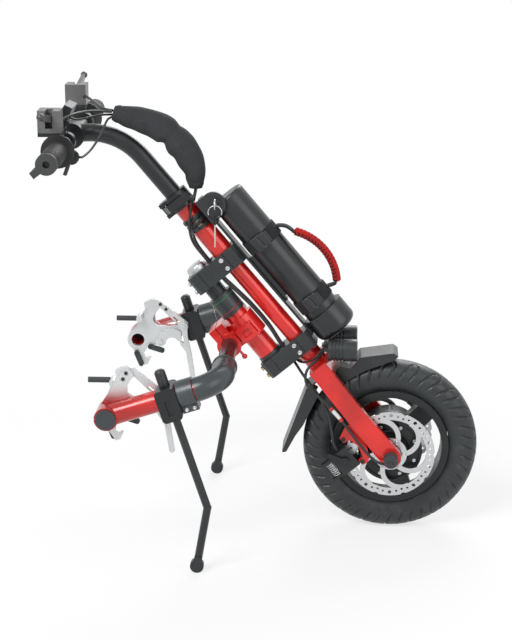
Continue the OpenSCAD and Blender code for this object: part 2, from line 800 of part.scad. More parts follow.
// Least gap between neighbouring turns of the return spring
spring_gap = min([for (i = [0 : len(spring_points) - 1], j = [0 : len(spring_points) - 1])
  if (j - i >= curl_steps / 2) norm(spring_points[j] - spring_points[i])]) - spring_wire;
echo(least_spring_gap = spring_gap);
module caliper_half() {
  low_s = caliper_s - caliper_h / 2;
  low_q = caliper_q - caliper_depth / 2;
  difference() {
    block([low_q, caliper_y0 - caliper_in, low_s],
      [low_q + caliper_depth, caliper_y1 + caliper_out, low_s + caliper_h]);
    block([low_q - over + clamp_bevel, caliper_y0, low_s - over],
      [low_q + caliper_depth + over, caliper_y1, low_s + caliper_h + over]);
  }
  translate([caliper_q, 0, caliper_s])
    bar_y(caliper_pin_d, caliper_y1 + caliper_out - over,
      caliper_y1 + caliper_out + arm_hub_h + 2 * run_gap);
  for (end = [-1, 1]) translate([spring_q, spring_y, caliper_s + end * (spring_h / 2 + spring_lug_t)])
    cube([4 * spring_r, 2 * spring_r, spring_lug_t], center = true);
}
module calipers() {
  color(satin_black) on_column() pair() caliper_half();
  color(bare_silver) on_column() pair() tube(spring_points, [for (p = spring_points) spring_wire / 2],
    wire_sides);
}
module caliper_arm() {
  y0 = caliper_y1 + caliper_out + run_gap;
  color(satin_black) on_column() translate([caliper_q, 0, caliper_s]) difference() {
    union() {
      bar_y(arm_hub_d, y0, y0 + arm_hub_h);
      rotate([0, -caliper_arm_tilt, 0])
        block([-caliper_arm_w / 2, y0, 0], [caliper_arm_w / 2, y0 + arm_hub_h, caliper_arm_len]);
    }
    bar_y(caliper_pin_d + 2 * fit_gap, y0 - over, y0 + arm_hub_h + over);
  }
}
module caliper_arm_right() { to_right() caliper_arm(); }
module caliper_arm_left() { caliper_arm(); }

// Fenders and headlights
fender_half = tyre_w / 2 * fender_w_share;
function fender_line(shares) = scaled(shares, [tyre_od / 2, tyre_od / 2]);
// A sheet that follows a line of places in the XZ plane, raised from it by one thickness
function raised(p, t) = [for (i = [0 : len(p) - 1])
  let (d = unit(p[min(i + 1, len(p) - 1)] - p[max(i - 1, 0)])) p[i] + [-d[1], d[0]] * t];
function backward(p) = [for (i = [len(p) - 1 : -1 : 0]) p[i]];
module sheet_line(p, t) { polygon(concat(p, backward(raised(p, t)))); }
function from_column(q, s) = [column_x(q, s), column_z(q, s) + axle_z];
module fenders() {
  root = crown_s - fender_t;
  wide = fender_half + fender_t;
  top = concat([from_column(-crown_depth / 4, root), from_column(crown_depth * 3 / 4, root)],
    fender_line(front_top_shares));
  low = fender_line(front_low_shares);
  flap = concat([from_column(-crown_depth / 2, neck_s - fender_t),
      from_column(-crown_depth / 2, crown_s + fender_t)],
    fender_line(rear_flap_shares));
  color(satin_black) on_axle() translate([0, 0, -axle_z]) {
    slab_y(-wide, wide) sheet_line(top, fender_t);
    pair() slab_y(fender_half, wide) polygon(concat(top, backward(low)));
    slab_y(-wide, wide) sheet_line(flap, -fender_t);
    pair() slab_y(fender_half, wide) polygon(concat(fender_line(rear_flap_shares),
      backward(fender_line(flap_lip_shares))));
  }
}
lamp_q = crown_depth / 2 + lug_size;
lamp_x = column_x(lamp_q, neck_s + lamp_rise);
lamp_z = column_z(lamp_q, neck_s + lamp_rise);
module on_lamp() {
  on_axle() translate([lamp_x, 0, lamp_z]) pair() translate([0, lamp_span / 2, 0]) rotate([0, 90, 0])
    children();
}
module headlights() {
  color(satin_black) on_lamp() difference() {
    cylinder(d = lamp_d, h = lamp_len);
    for (i = [1 : lamp_fins]) translate([0, 0, i * 2 * lamp_fin_w]) difference() {
      cylinder(d = lamp_d + over, h = lamp_fin_w);
      translate([0, 0, -over]) cylinder(d = lamp_d - 2 * lamp_fin_depth, h = lamp_fin_w + 2 * over);
    }
    translate([0, 0, lamp_len - lamp_lens_t]) cylinder(d = lamp_lens_d, h = lamp_lens_t + over);
  }
  color("white") on_lamp() translate([0, 0, lamp_len - lamp_lens_t])
    cylinder(d = lamp_lens_d, h = lamp_lens_t);
  color(satin_black) on_axle() translate([lamp_x, 0, lamp_z])
    block([-lamp_bar_t, -lamp_span / 2, -lamp_bar_t / 2], [0, lamp_span / 2, lamp_bar_t / 2]);
  color(satin_black) on_column() difference() {
    block([crown_depth / 2 + lug_size / 4, -lug_size / 2, neck_s],
      [crown_depth / 2 + lug_size, lug_size / 2, neck_s + lug_size]);
    rotate([0, rake, 0]) translate([lamp_x, 0, lamp_z])
      block([-lamp_d, -lamp_d, 0], [lamp_d, lamp_d, lamp_d]);
  }
}

// Column
module column_tube() {
  wall = (column_top_d - riser_d) / 2;
  color(paint_red) on_column() translate([column_q, 0, 0]) difference() {
    union() {
      translate([0, 0, low_clamp_s - column_socket])
        cylinder(d = column_d, h = top_clamp_s - low_clamp_s + column_socket);
      translate([0, 0, top_clamp_s]) cylinder(d = column_top_d, h = column_top_s - top_clamp_s);
    }
    translate([0, 0, low_clamp_s - column_socket - over])
      cylinder(d = column_d - 2 * wall, h = top_clamp_s - low_clamp_s + column_socket);
    translate([0, 0, cap_s]) cylinder(d = riser_d, h = column_top_s);
  }
}
module column_clamp(s, h, d) {
  q0 = spindle_q - clamp_back;
  q1 = column_q + clamp_front;
  half = clamp_w / 2;
  translate([0, 0, s]) difference() {
    linear_extrude(h) difference() {
      polygon([[q0, clamp_bevel - half], [q0 + clamp_bevel, -half], [q1 - clamp_bevel, -half],
        [q1, clamp_bevel - half], [q1, half - clamp_bevel], [q1 - clamp_bevel, half],
        [q0 + clamp_bevel, half], [q0, half - clamp_bevel]]);
      translate([channel_q - channel_depth / 2, -channel_w / 2]) square([channel_depth, channel_w]);
    }
    translate([spindle_q, 0, -over]) cylinder(d = spindle_d, h = h + 2 * over);
    translate([column_q, 0, -over]) cylinder(d = d, h = h + 2 * over);
    for (q = [spindle_q, column_q]) translate([q, 0, h / 2])
      cube([clamp_slit, clamp_w + over, h + 2 * over], center = true);
  }
}
module column_clamps() {
  color(satin_black) on_column() {
    column_clamp(low_clamp_s, clamp_h, column_d);
    column_clamp(top_clamp_s, top_clamp_h, column_top_d);
  }
}
module clamp_bolts() {
  q0 = spindle_q - clamp_back;
  side_y = clamp_w / 2 - clamp_bevel - clamp_bolt_d / 2;
  color(bare_silver) on_column() for (c = [[low_clamp_s, clamp_h], [top_clamp_s, top_clamp_h]],
      end = [bolt_inset_share, 1 - bolt_inset_share]) translate([0, 0, c[0] + c[1] * end]) pair() {
    translate([q0 - clamp_bolt_h, side_y, 0]) rotate([0, 90, 0])
      cylinder(d = clamp_bolt_d, h = clamp_bolt_h);
    translate([column_q - clamp_bolt_d, 0, 0])
      bar_y(clamp_bolt_d, clamp_w / 2, clamp_w / 2 + clamp_bolt_h);
  }
}
module spindle() {
  color(satin_black) on_column() translate([spindle_q, 0, 0]) {
    translate([0, 0, low_clamp_s]) cylinder(d = spindle_d, h = cap_s - low_clamp_s);
    translate([0, 0, cap_s]) rotate_extrude() difference() {
      square([cap_d / 2, cap_h]);
      translate([cap_d / 2 - cap_h / 2, cap_h / 2]) difference() {
        square([cap_h, cap_h]);
        circle(cap_h / 2);
      }
    }
  }
}
module steering_damper() {
  bore = spindle_d / 2;
  ribs = floor(ribs_h / rib_pitch);
  color(satin_black) on_column() translate([spindle_q, 0, 0]) {
    translate([0, 0, ring_s]) rotate_extrude() translate([bore, 0]) square([ring_d / 2 - bore, ring_h]);
    translate([0, 0, damper_s]) rotate_extrude() difference() {
      translate([bore, 0]) square([damper_d / 2 - bore, damper_h]);
      for (place = [groove_place_share, 1 - groove_place_share])
        translate([damper_d / 2 - damper_groove, damper_h * place])
          square([2 * damper_groove, damper_groove]);
    }
    translate([0, 0, ribs_s]) rotate_extrude() difference() {
      translate([bore, 0]) square([ribs_d / 2 - bore, ribs_h]);
      for (i = [0 : ribs - 1]) translate([ribs_d / 2 - rib_depth, (i + 0.5) * rib_pitch])
        square([rib_depth + over, rib_pitch / 2]);
    }
  }
}
shoe_s = case_s + case_len * shoe_place_share;
module battery_rail() {
  half = rail_w / 2;
  color(satin_black) on_column() {
    block([rail_q0, -half, low_clamp_s + clamp_h / 2], [rail_q1, half, rail_s1]);
    block([rail_q1, -shoe_w / 2, shoe_s - rail_stop_h], [lock_q1, shoe_w / 2, shoe_s]);
  }
}

// Lock and key, on the right side of the battery's top
lock_s = rail_s1 + lock_rise;
lock_q = battery_q - lock_back;
cheek_y = battery_d / 2 + cheek_gap;
module lock_housing() {
  color(satin_black) on_column() difference() {
    union() {
      block([rail_q0, -lock_out, rail_s1], [lock_q1, lock_in, rail_s1 + lock_h]);
      slab_y(-lock_out, -cheek_y) {
        translate([lock_q, lock_s]) circle(d = lock_d);
        translate([rail_q0, lock_s - lock_d / 2]) square([lock_q - rail_q0, lock_d]);
      }
      translate([lock_q + barrel_shift, 0, lock_s]) bar_y(barrel_d, -lock_out - barrel_h, -cheek_y);
    }
    translate([lock_q + barrel_shift, 0, lock_s])
      bar_y(key_shaft_d + 2 * fit_gap, -lock_out - barrel_h - over, -cheek_y - case_wall);
  }
}
key_x = axle_x + column_x(lock_q + barrel_shift, lock_s);
key_z = axle_z + column_z(lock_q + barrel_shift, lock_s);
key_y = -lock_out - barrel_h - run_gap - key_bow_d / 2;
module key() {
  color(bare_silver) translate([key_x, 0, key_z]) difference() {
    union() {
      bar_y(key_shaft_d, key_y, key_y + key_shaft_len + key_bow_d / 2 - barrel_h);
      translate([-key_bow_t / 2, key_y, 0]) rotate([0, 90, 0]) cylinder(d = key_bow_d, h = key_bow_t);
    }
    translate([-key_bow_d, key_y, 0]) rotate([0, 90, 0]) cylinder(d = key_hole_d, h = 2 * key_bow_d);
  }
}
ring_sag = key_hole_d / 2 - ring_wire / 2 - run_gap;
ring_z = key_z - ring_sag - ring_r;
module key_ring() {
  spare_z = ring_z - ring_r - ring_sag;
  color(bare_silver) translate([key_x, key_y, ring_z]) rotate([90, 0, 0])
    rotate_extrude() translate([ring_r, 0]) circle(d = ring_wire, $fn = 24);
  color(satin_black) translate([key_x, key_y, spare_z]) difference() {
    union() {
      translate([-key_bow_t / 2, 0, 0]) rotate([0, 90, 0]) cylinder(d = spare_bow_d, h = key_bow_t);
      block([-key_bow_t / 2, -spare_blade_w / 2, -spare_drop - spare_blade_len],
        [key_bow_t / 2, spare_blade_w / 2, -spare_drop + spare_blade_w]);
    }
    translate([-key_bow_d, 0, 0]) rotate([0, 90, 0]) cylinder(d = key_hole_d, h = 2 * key_bow_d);
  }
}

// Battery
module on_battery() { on_column() translate([battery_q, 0, 0]) children(); }
module battery_case() {
  r = battery_d / 2;
  color(satin_black) on_battery() {
    translate([0, 0, case_s]) rotate_extrude() difference() {
      square([r, case_len]);
      square([r - case_wall, case_len - case_wall]);
      translate([r - case_round, case_len - case_round]) difference() {
        square(2 * case_round);
        circle(case_round);
      }
    }
    translate([0, 0, base_s]) rotate_extrude() difference() {
      square([base_d / 2, base_h]);
      translate([0, base_floor]) square([r, base_h]);
      translate([base_d / 2 - base_round, 0]) difference() {
        translate([0, -base_round]) square(2 * base_round);
        translate([0, base_round]) circle(base_round);
      }
    }
    difference() {
      block([rail_q1 + slide_gap - battery_q, -shoe_w / 2, shoe_s],
        [case_wall - r, shoe_w / 2, shoe_s + case_len * shoe_len_share]);
      translate([0, 0, case_s]) cylinder(r = r, h = case_len);
    }
  }
}
module battery_cells() {
  r = battery_d / 2 - case_wall - cell_gap;
  color("royalblue") on_battery() translate([0, 0, case_s])
    cylinder(r = r, h = case_len - case_wall - cell_gap);
}
strap_r = battery_d / 2 + strap_gap;
function strap_place(i) = base_s + battery_len * strap_shares[i];
handle_arc_r = (handle_chord * handle_chord / 4 + handle_rise * handle_rise) / (2 * handle_rise);
handle_half = asin(handle_chord / 2 / handle_arc_r);
handle_s = base_s + battery_len * handle_place_share;
handle_foot_q = battery_d / 2 + handle_lift;
// A flat webbing link from a strap to an end of the handle
module handle_link(i, end) {
  hull() {
    translate([strap_r + strap_t - handle_link_t / 4, -handle_link_w / 2, strap_place(i) - handle_link_t])
      cube([handle_link_t / 2, handle_link_w, 2 * handle_link_t]);
    translate([handle_foot_q - handle_link_t / 2, -handle_link_w / 2, handle_s + end * (handle_chord / 2)])
      cube([handle_link_t, handle_link_w, handle_link_t / 2]);
  }
}
module battery_straps() {
  color(rubber_black) on_battery() for (i = [0, 1]) translate([0, 0, strap_place(i) - strap_w / 2]) {
    rotate_extrude() translate([strap_r, 0]) square([strap_t, strap_w]);
    translate([-buckle_size[0] / 2, -strap_r - strap_t - buckle_size[1] + strap_t / 2,
      strap_w / 2 - buckle_size[2] / 2]) cube(buckle_size);
  }
  color(rubber_black) on_battery() difference() {
    union() {
      handle_link(0, -1);
      handle_link(1, 1);
    }
    cylinder(r = strap_r + strap_t, h = column_top_s);
    handle_arc(2 * fit_gap);
  }
}
module handle_arc(extra) {
  translate([handle_foot_q + handle_rise - handle_arc_r, 0, handle_s]) rotate([90, 0, 0])
    rotate([0, 0, -handle_half]) rotate_extrude(angle = 2 * handle_half)
      translate([handle_arc_r, 0]) circle(d = handle_d + extra);
}
module carry_handle() { color("firebrick") on_battery() handle_arc(0); }

// Handlebar
module handlebar() {
  bore_y = bar_w / 2 - grip_cap;
  color(satin_black) {
    on_column() translate([column_q, 0, 0]) {
      translate([0, 0, cap_s + column_top_len / 2])
        cylinder(d = riser_d, h = bend_s - cap_s - column_top_len / 2);
      translate([-riser_bend_r, 0, bend_s]) rotate([90, 0, 0])
        rotate_extrude(angle = riser_bend) translate([riser_bend_r, 0]) circle(d = riser_d);
    }
    on_bar() {
      bar_y(bar_d, -bore_y, bore_y);
      bar_y(bar_hub_d, -bar_hub_w / 2, bar_hub_w / 2);
    }
  }
}
qr_pin_x = -collar_d / 2 - collar_ear / 2;
qr_pin_y = -collar_ear_w / 2 + qr_lever_t / 2;
module stem_collar() {
  half = collar_ear_w / 2;
  slot = collar_h / 4 - run_gap;
  color(satin_black) on_column() translate([column_q, 0, collar_s]) {
    difference() {
      union() {
        cylinder(d = collar_d, h = collar_h);
        block([-collar_d / 2 - collar_ear, -half, 0], [0, half, collar_h]);
      }
      translate([0, 0, -over]) cylinder(d = column_top_d, h = collar_grip + over);
      cylinder(d = riser_d, h = collar_h + over);
      translate([-collar_d / 2, 0, 0]) cube([collar_d, clamp_slit, 3 * collar_h], center = true);
      block([-collar_d, -half - over, slot], [-collar_d / 2 + over, half, collar_h - slot]);
    }
    translate([qr_pin_x, qr_pin_y, over]) cylinder(d = qr_pin_d, h = collar_h - 2 * over);
  }
}
module stem_lever() {
  elbow = [cos(qr_turn), -sin(qr_turn)] * qr_lever_len / 2;
  path = [[0, 0], elbow, elbow + [cos(qr_kick), -sin(qr_kick)] * qr_lever_len];
  half = qr_lever_t / 2;
  color(satin_black) on_column()
    translate([column_q + qr_pin_x, qr_pin_y, collar_s + collar_h / 4]) difference() {
      union() {
        cylinder(d = qr_hub_d, h = collar_h / 2);
        translate([0, 0, qr_step]) linear_extrude(collar_h / 2 - 2 * qr_step)
          polygon(concat(raised(path, -half), backward(raised(path, half))));
      }
      translate([0, 0, -over]) cylinder(d = qr_pin_d + 2 * fit_gap, h = collar_h);
    }
}
grip_y0 = bar_w / 2 - grip_len;
module grip_body() {
  pitch = (grip_len - 2 * grip_cap) / grip_ribs;
  on_bar() {
    translate([0, grip_y0, 0]) rotate([-90, 0, 0]) rotate_extrude() difference() {
      union() {
        translate([bar_d / 2, 0]) square([(grip_d - bar_d) / 2, grip_len]);
        translate([grip_hole_d / 2, grip_len - grip_cap])
          square([(grip_d - grip_hole_d) / 2, grip_cap]);
        translate([bar_d / 2, -grip_flange_t]) square([(grip_flange_d - bar_d) / 2, grip_flange_t]);
      }
      for (i = [0 : grip_ribs - 1]) translate([grip_d / 2 - grip_rib_depth, grip_cap + i * pitch])
        square([grip_rib_depth + over, pitch / 2]);
    }
    // Palm rest at the outer end, behind and below the grip
    rotate([0, -wing_turn, 0]) difference() {
      block([-wing_reach, bar_w / 2 - wing_len, -wing_t / 2], [0, bar_w / 2, wing_t / 2]);
      bar_y(grip_d - grip_rib_depth, grip_y0, bar_w);
    }
  }
}
module grips() { color(grip_grey) pair() grip_body(); }
perch_y0 = grip_y0 - grip_flange_t - run_gap - perch_w;
perch_top = perch_lift + perch_h;
lever_y = grip_y0 - lever_root_d;
module perch_body() {
  slot = lever_t + 2 * lever_slot_gap;
  on_bar() difference() {
    union() {
      difference() {
        union() {
          bar_y(perch_band_d, perch_y0 - perch_band_w / 2, perch_y0 + perch_band_w / 2);
          block([-perch_back, perch_y0, perch_lift],
            [perch_d - perch_back, perch_y0 + perch_w, perch_top]);
          block([-perch_band_d / 2, perch_y0 - perch_band_w / 2, 0],
            [perch_d - perch_back, perch_y0 + perch_band_w / 2, perch_lift + perch_shift]);
        }
        block([-slot / 2 - perch_back + perch_d / 2, lever_y - lever_root_d, lever_rise - lever_root_d],
          [slot / 2 - perch_back + perch_d / 2, perch_y0 + perch_w + over, perch_top + over]);
      }
      translate([-perch_back + perch_shift, lever_y, lever_rise]) rotate([0, 90, 0])
        cylinder(d = lever_pin_d, h = perch_d - 2 * perch_shift);
    }
    bar_y(bar_d, 0, bar_w);
  }
}
module brake_perches() { color([0.62, 0.64, 0.64]) pair() perch_body(); }
module brake_lever() {
  x0 = -perch_back + perch_d / 2 - lever_t / 2;
  color([0.40, 0.42, 0.42]) on_bar() translate([0, lever_y, lever_rise]) difference() {
    union() {
      translate([x0, 0, 0]) rotate([0, 90, 0]) cylinder(d = lever_root_d, h = lever_t);
      rotate([lever_tilt, 0, 0]) {
        hull() {
          translate([x0, 0, 0]) rotate([0, 90, 0])
            cylinder(d = lever_root_d - over, h = lever_t, $fn = hull_fn);
          translate([x0 + lever_t / 4, lever_len, 0]) rotate([0, 90, 0])
            cylinder(d = lever_end_d, h = lever_t / 2, $fn = hull_fn);
        }
        translate([x0 + lever_t / 2, lever_len, 0]) sphere(d = lever_ball_d);
      }
    }
    translate([x0 - over, 0, 0]) rotate([0, 90, 0])
      cylinder(d = lever_pin_d + 2 * fit_gap, h = lever_t + 2 * over);
  }
}
module brake_lever_right() { to_right() brake_lever(); }
module brake_lever_left() { brake_lever(); }
pod_y1 = -(grip_y0 - grip_flange_t - run_gap);
pod_y0 = pod_y1 + pod_w;
module throttle_pod() {
  color(satin_black) on_bar() {
    difference() {
      union() {
        bar_y(pod_d, pod_y1, pod_y0);
        translate([pod_reach, 0, -pod_drop]) bar_y(pod_lobe_d, pod_y0 - pod_w / 4, pod_y0);
      }
      bar_y(bar_d, -bar_w, 0);
    }
    translate([pod_reach, 0, -pod_drop]) bar_y(lever_pin_d, pod_y1 + run_gap, pod_y0);
  }
}
module throttle_paddle() {
  y1 = pod_y0 - pod_w / 4 - run_gap;
  color(satin_black) on_bar() difference() {
    translate([pod_reach, 0, -pod_drop]) union() {
      bar_y(paddle_hub_d, y1 - paddle_w, y1);
      rotate([0, paddle_tilt, 0])
        block([-paddle_t / 2, y1 - paddle_w, -paddle_len], [paddle_t / 2, y1, 0]);
    }
    translate([pod_reach, 0, -pod_drop]) bar_y(lever_pin_d + 2 * fit_gap, pod_y1 - over, pod_y0 + over);
  }
}
perch_in = perch_y0 - perch_band_w / 2;
display_y = -bar_hub_w / 2 - (perch_in - bar_hub_w / 2) * display_place_share;
module on_display() {
  on_bar() translate([0, display_y, display_lift]) rotate([0, display_tilt, 0]) children();
}
module display() {
  color(satin_black) {
    on_display() difference() {
      cube([display_t, display_w, display_h], center = true);
      translate([-display_t / 2, 0, -display_h * button_drop_share]) rotate([0, 90, 0])
        cylinder(d = button_d + 2 * fit_gap, h = 2 * button_h, center = true);
    }
    on_bar() difference() {
      union() {
        bar_y(display_band_d, display_y - display_band_w / 2, display_y + display_band_w / 2);
        block([-display_t, display_y - display_band_w / 2, 0],
          [0, display_y + display_band_w / 2, display_lift - display_h / 2 + display_t / 4]);
      }
      bar_y(bar_d, -bar_w, 0);
      translate([0, display_y, display_lift]) rotate([0, display_tilt, 0])
        cube([display_t, display_w, display_h], center = true);
    }
  }
}
module power_button() {
  color("dimgray") on_display() translate([-display_t / 2 - button_h, 0, -display_h * button_drop_share])
    rotate([0, 90, 0]) cylinder(d = button_d, h = 2 * button_h - button_travel - run_gap);
}
module cable_sleeve() {
  p = [for (a = sleeve_route) [a[0], 0, collar_s + collar_h + a[1]]];
  color([0.2, 0.2, 0.21]) on_column() tube(p, [for (a = sleeve_route) a[2]], sleeve_sides);
}
mouth_q = sleeve_route[0][0];
mouth_s = collar_s + collar_h + sleeve_route[0][1];
cable_marks = [[bar_dx, 0, bar_z - axle_z], [column_x(mouth_q, mouth_s), 0, column_z(mouth_q, mouth_s)]];
function cable_place(p) = cable_marks[p[0]] + [p[1], p[2], p[3]];
column_marks = [crown_s, low_clamp_s, head_s, damper_s, top_clamp_s, collar_s,
  caliper_s + caliper_h / 2, 0];
function column_place(p) = [p[0], p[1], column_marks[p[2]] + p[3]];
module cables() {
  color([0.25, 0.26, 0.27]) {
    on_axle() for (run = cable_runs)
      tube([for (p = run[1]) cable_place(p)], [for (p = run[1]) run[0] / 2], cable_sides);
    on_column() for (run = column_runs)
      tube([for (p = run[1]) column_place(p)], [for (p = run[1]) run[0] / 2], cable_sides);
  }
}

// Docking frame
module head_tube() {
  bore = spindle_d + 2 * bearing_wall;
  color(paint_red) on_column() translate([spindle_q, 0, head_s]) difference() {
    cylinder(d = head_d, h = head_len);
    translate([0, 0, -over]) cylinder(d = bore, h = head_len + 2 * over);
  }
}
module headset_bearings() {
  color(bare_silver) on_column() for (s = [head_s, head_s + head_len - headset_h])
    translate([spindle_q, 0, s]) difference() {
      cylinder(d = spindle_d + 2 * bearing_wall, h = headset_h);
      translate([0, 0, -over]) cylinder(d = spindle_d + 2 * fit_gap, h = headset_h + 2 * over);
    }
}
module docking_bracket() {
  half = bracket_w / 2;
  side_y = -half - frame_size[1];
  color(paint_red) on_column() {
    difference() {
      union() {
        translate([spindle_q, 0, cross_s - bracket_down])
          cylinder(d = head_d + 2 * bracket_wall, h = bracket_down + bracket_up);
        translate([cross_q, 0, cross_s]) bar_y(cross_d + 2 * bracket_wall, -half, half);
        block([cross_q, -bracket_web_w / 2, cross_s - bracket_down],
          [spindle_q, bracket_web_w / 2, cross_s + bracket_down]);
        translate([cross_q - lug_block[0] / 2, -lug_block[1] / 2, cross_s + bracket_wall])
          cube([lug_block[0], lug_block[1], lug_block[2] + cross_d / 2]);
        difference() {
          block([spindle_q - frame_size[0] / 2, side_y, cross_s - frame_size[2] / 2],
            [spindle_q + frame_size[0] / 2, -head_d / 2, cross_s + frame_size[2] / 2]);
          translate([spindle_q, side_y, cross_s]) cube([frame_size[0] * frame_window_share,
            2 * frame_size[1], frame_size[2] * frame_window_share], center = true);
        }
        for (z = [-1, 1]) translate([spindle_q + frame_size[0] / 2, side_y + post_d / 2,
            cross_s + z * frame_size[2] / 2]) sphere(d = post_d);
      }
      translate([spindle_q, 0, 0]) cylinder(d = head_d, h = column_top_s);
      translate([cross_q, 0, cross_s]) bar_y(cross_d, -arm_span, arm_span);
      translate([cross_q, 0, cross_s + bracket_up])
        cube([clamp_slit * 2, bracket_w * 2, lug_block[2] * 2], center = true);
    }
    // Latch rod with a ball end
    translate([cross_q + bracket_wall, -bracket_web_w / 2 - latch_rod_d / 2, cross_s - bracket_down]) {
      translate([0, 0, -latch_len / 2]) cylinder(d = latch_rod_d, h = latch_len / 2);
      translate([0, 0, -latch_len / 2]) sphere(d = latch_ball_d);
    }
  }
}
elbow_y = arm_y - elbow_r;
module cross_tube() { color(satin_black) translate([cross_x, 0, cross_z]) bar_y(cross_d, -elbow_y, elbow_y); }
module arm_clamp() {
  translate([-elbow_r - arm_clamp_gap, arm_y, 0]) rotate([0, -90, 0]) difference() {
    union() {
      cylinder(d = arm_clamp_d, h = arm_clamp_w);
      translate([-arm_clamp_d / 2 - arm_clamp_lug / 2, -arm_clamp_lug, 0])
        cube([arm_clamp_d / 2, 2 * arm_clamp_lug, arm_clamp_w]);
    }
    translate([0, 0, -over]) cylinder(d = arm_d, h = arm_clamp_w + 2 * over);
    translate([-arm_clamp_d / 2, 0, arm_clamp_w / 2])
      cube([arm_clamp_d, clamp_slit * 2, arm_clamp_w + 2 * over], center = true);
  }
}
module dock_elbows() {
  color(satin_black) on_dock() pair() {
    difference() {
      bar_y(elbow_d, elbow_y - elbow_grip, elbow_y);
      bar_y(cross_d, 0, arm_y);
    }
    translate([-elbow_r, elbow_y, 0]) rotate_extrude(angle = 90)
      translate([elbow_r, 0]) circle(d = elbow_d);
    arm_clamp();
  }
}
function hook_place(share) = [share[0] * hook_len, share[1] * hook_rise];
module dock_arms() {
  color(paint_red) pair() {
    difference() {
      union() {
        on_dock() translate([-elbow_r, arm_y, 0]) rotate([0, -90, 0])
          cylinder(d = arm_d, h = arm_len - elbow_r);
        on_hook() bar_y(boss_d, boss_y0, boss_y0 + boss_len);
        on_hook() slab_y(boss_y0, boss_y0 + gusset_t)
          polygon(scaled(gusset_shares, [hook_len, hook_rise]));
      }
      on_hook() bar_y(boss_bore, boss_y0 - over, boss_y0 + boss_len + over);
      on_dock() translate([-elbow_r + over, arm_y, 0]) rotate([0, -90, 0])
        cylinder(d = arm_d - 2 * arm_wall, h = arm_len - elbow_r - boss_d / 2);
      on_dock() translate([-stand_back, arm_y, 0]) cylinder(d = knob_stem_d + 2 * fit_gap, h = arm_d);
      on_hook() translate([-boss_d / 2, boss_y0 + boss_len / 2 + gusset_t, 0])
        cube([boss_d, boss_len, boss_slit], center = true);
    }
  }
}
module hook_plate() {
  size = [hook_len, hook_rise];
  on_hook() {
    difference() {
      slab_y(hook_y, hook_y + hook_t) difference() {
        union() {
          circle(d = boss_d);
          polygon(scaled(plate_outline_shares, size));
          translate(hook_place(lever_pivot_shares)) circle(d = release_hub_d);
        }
        polygon(scaled(plate_window_shares, size));
        polygon(scaled(strut_slot_shares, size));
      }
      bar_y(boss_bore, 0, arm_span);
      seat = hook_place(seat_shares);
      translate([seat[0], 0, seat[1]]) bar_y(seat_d + 2 * over, 0, arm_span);
    }
    // Pivot pins of the jaw and the release lever, with their heads
    for (share = [jaw_pivot_shares, lever_pivot_shares]) {
      p = hook_place(share);
      translate([p[0], 0, p[1]]) {
        bar_y(hook_pin_d, hook_y - layer_t - 2 * run_gap, hook_y);
        bar_y(pin_head_d, hook_y - layer_t - 2 * run_gap - pin_head_t, hook_y - layer_t - 2 * run_gap);
      }
    }
    peg = hook_place(peg_shares);
    translate([peg[0], 0, peg[1]]) bar_y(peg_stub_d, hook_y - peg_y_in, hook_y);
  }
}
module hook_plates() { color(bare_silver) pair() hook_plate(); }
module hook_pads() {
  peg = hook_place(peg_shares);
  color(rubber_black) pair() on_hook() {
    for (pad = pad_shares) {
      a = hook_place(pad[0]);
      b = hook_place(pad[1]);
      d = unit(b - a);
      n = [-d[1], d[0]] * pad_w / 2;
      slab_y(hook_y - layer_t, hook_y) {
        polygon([a + n, a - n, b - n, b + n]);
        translate(a) circle(d = pad_w);
        translate(b) circle(d = pad_w);
      }
    }
    translate([peg[0] - peg_stub_d / 2, hook_y - peg_y_in + peg_d / 2, peg[1]]) rotate([0, -90, 0])
      cylinder(d = peg_d, h = peg_len);
    bar_y(boss_d - 2 * arm_wall, boss_y0 + boss_len, boss_y0 + boss_len + boss_cap_t);
  }
}
jaw_y1 = hook_y - run_gap;
module jaw() {
  seat = hook_place(seat_shares);
  pivot = hook_place(jaw_pivot_shares);
  color(bare_silver) on_hook() difference() {
    slab_y(jaw_y1 - layer_t, jaw_y1) {
      translate(pivot) circle(d = jaw_hub_d);
      intersection() {
        translate(seat) circle(d = seat_d * 2 * jaw_outer_share);
        polygon(scaled(jaw_cut_shares, [hook_len, hook_rise]));
      }
    }
    translate([seat[0], 0, seat[1]]) bar_y(seat_d, 0, arm_span);
    translate([pivot[0], 0, pivot[1]]) bar_y(hook_pin_d + 2 * fit_gap, 0, arm_span);
  }
}
module jaw_right() { to_right() jaw(); }
module jaw_left() { jaw(); }
module release_lever() {
  pivot = hook_place(lever_pivot_shares);
  color(bare_silver) on_hook() difference() {
    union() {
      translate([pivot[0], 0, pivot[1]]) bar_y(release_hub_d, jaw_y1 - layer_t, jaw_y1);
      slab_y(jaw_y1 - layer_t, jaw_y1) polygon(scaled(handle_shares, [hook_len, hook_rise]));
    }
    translate([pivot[0], 0, pivot[1]]) bar_y(hook_pin_d + 2 * fit_gap, 0, arm_span);
  }
}
module release_lever_right() { to_right() release_lever(); }
module release_lever_left() { release_lever(); }

